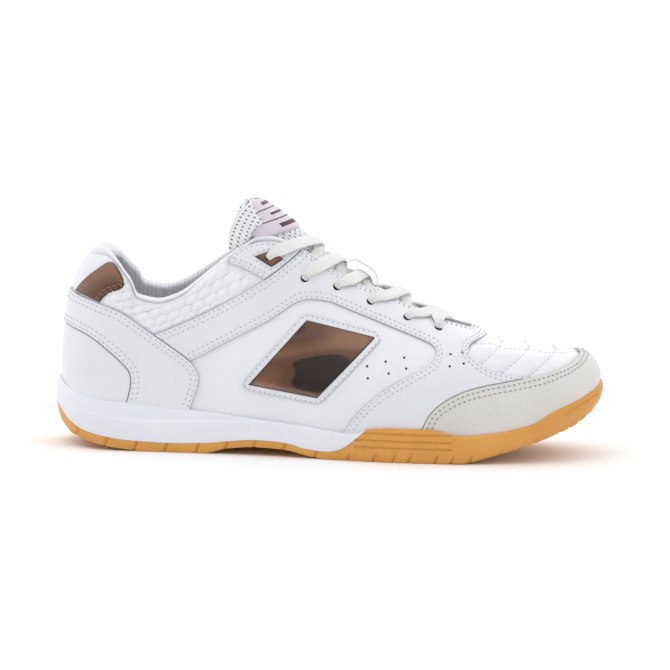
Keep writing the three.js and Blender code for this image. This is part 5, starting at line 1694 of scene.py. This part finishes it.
# Tread: low six-sided lugs on the underside
lugTree = spotTree("tread_lugs", "GeometryNodeMeshCone",
                   {"Vertices": 6, "Radius Top": 0.84, "Radius Bottom": 1.0, "Depth": 1.0})
pitch = sole["lugPitch"]
gx, gy = np.meshgrid(np.arange(0, form["length"], pitch * 0.87), np.arange(-60, 60, pitch), indexing="ij")
gy = gy + (np.arange(gx.shape[0]) % 2)[:, None] * pitch / 2
gx, gy = gx.ravel(), gy.ravel()
border = gumRows[0][:, :2]
spine = np.array([np.clip(border[:, 0], 40, 200), np.full(columns, 2.0)]).T
shrunk = border - unit(border - spine) * 6.5  # the lugs keep clear of the sole's edge
inside = insideOf(shrunk[::6], gx, gy) & (underHeight(gx) < 1.5 + 22 * (gx > 200))
gx, gy = gx[inside], gy[inside]
slope = (underHeight(gx + 1) - underHeight(gx - 1)) / 2
lugUps = unit(np.stack([slope, 0 * gx, -np.ones(len(gx))], 1))
sunk = 0.3  # their feet lie this deep in the rubber
lugPoints = np.stack([gx, gy, underHeight(gx) + sole["treadStep"] + sunk], 1)
lugHeight = sole["treadStep"] + sunk - 0.02
grown("tread_lugs", lugPoints, lugUps, [], lugTree,
      {"Radius": sole["lugRadius"] / 1000, "Height": lugHeight / 1000, "Paint": gumRubber}, "gum_rubber")
print("small pieces ready")

# Camera, floor and light
view = {
    "lens": 135.0,
    "distance": 1.32,
    "elevation": 6.0,
    "roll": 1.55,  # degrees, the toe lies a little lower in the picture
    "target": (0.0018, 0.0, 0.0594),
}
target = Vector(view["target"])
tilt = math.radians(view["elevation"])
back = Vector((0, -math.cos(tilt), math.sin(tilt)))
lens = bpy.data.cameras.new("camera")
lens.lens, lens.sensor_width = view["lens"], 36.0
camera = bpy.data.objects.new("camera", lens)
scene.collection.objects.link(camera)
turn = back.to_track_quat("Z", "Y").to_matrix() @ Matrix.Rotation(math.radians(view["roll"]), 3, "Z")
camera.matrix_world = Matrix.Translation(target + back * view["distance"]) @ turn.to_4x4()
scene.camera = camera

# studio paper: smooth matt white sheet
paper, tree, shader, coords = material("studio_paper", {"Roughness": 0.9, "Specular IOR Level": 0.2})
mottle = noise(tree, coords.outputs["Object"], 500, 1.0)
tree.links.new(blended(tree, mottle, "#FEFEFE", "#FCFCFD"), shader.inputs["Base Color"])
sheet = bpy.data.meshes.new("floor")
sheet.from_pydata([(-6, -6, 0), (6, -6, 0), (6, 6, 0), (-6, 6, 0)], [], [(0, 1, 2, 3)])
sheet.materials.append(paper)
floor = bpy.data.objects.new("floor", sheet)
scene.collection.objects.link(floor)
floor.location.z = -0.0002

lamps = {  # place, size, watts, colour
    "key": ((-0.6, -0.8, 1.7), 0.6, 3.0, "#FFFFFF"),
    "front": ((0.9, -1.5, 0.7), 1.2, 0.5, "#FBFCFF"),
    "above": ((0.1, 0.3, 1.8), 1.4, 0.6, "#FFFFFF"),
    "back": ((0.8, 1.2, 0.9), 0.9, 1.6, "#FFFDFA"),
}
for name, (place, size, watts, colour) in lamps.items():
    lamp = bpy.data.lights.new(name, "AREA")
    lamp.shape, lamp.size, lamp.energy, lamp.color = "SQUARE", size, watts, linear(colour)[:3]
    holder = bpy.data.objects.new(name, lamp)
    scene.collection.objects.link(holder)
    holder.location = place
    holder.rotation_euler = (Vector((0, 0, 0.05)) - Vector(place)).to_track_quat("-Z", "Y").to_euler()
# soft white room, a little darker on the camera's side
world = bpy.data.worlds.new("studio")
world.use_nodes = True
room = world.node_tree
sky = next(n for n in room.nodes if n.type == "BACKGROUND")
heading = add(room, "ShaderNodeTexCoord").outputs["Generated"]
toward = add(room, "ShaderNodeSeparateXYZ", None, None, {0: heading}).outputs
lean = add(room, "ShaderNodeMath", {"operation": "MULTIPLY_ADD"}, {1: 0.7}, {0: toward[1], 2: toward[2]})
room.links.new(ranged(room, lean.outputs[0], -0.75, 0.5, (0.26, 1.12), True), sky.inputs["Strength"])
sky.inputs["Color"].default_value = linear("#FFFFFF")
scene.world = world
scene.view_settings.view_transform = "Standard"
print("camera and light ready")
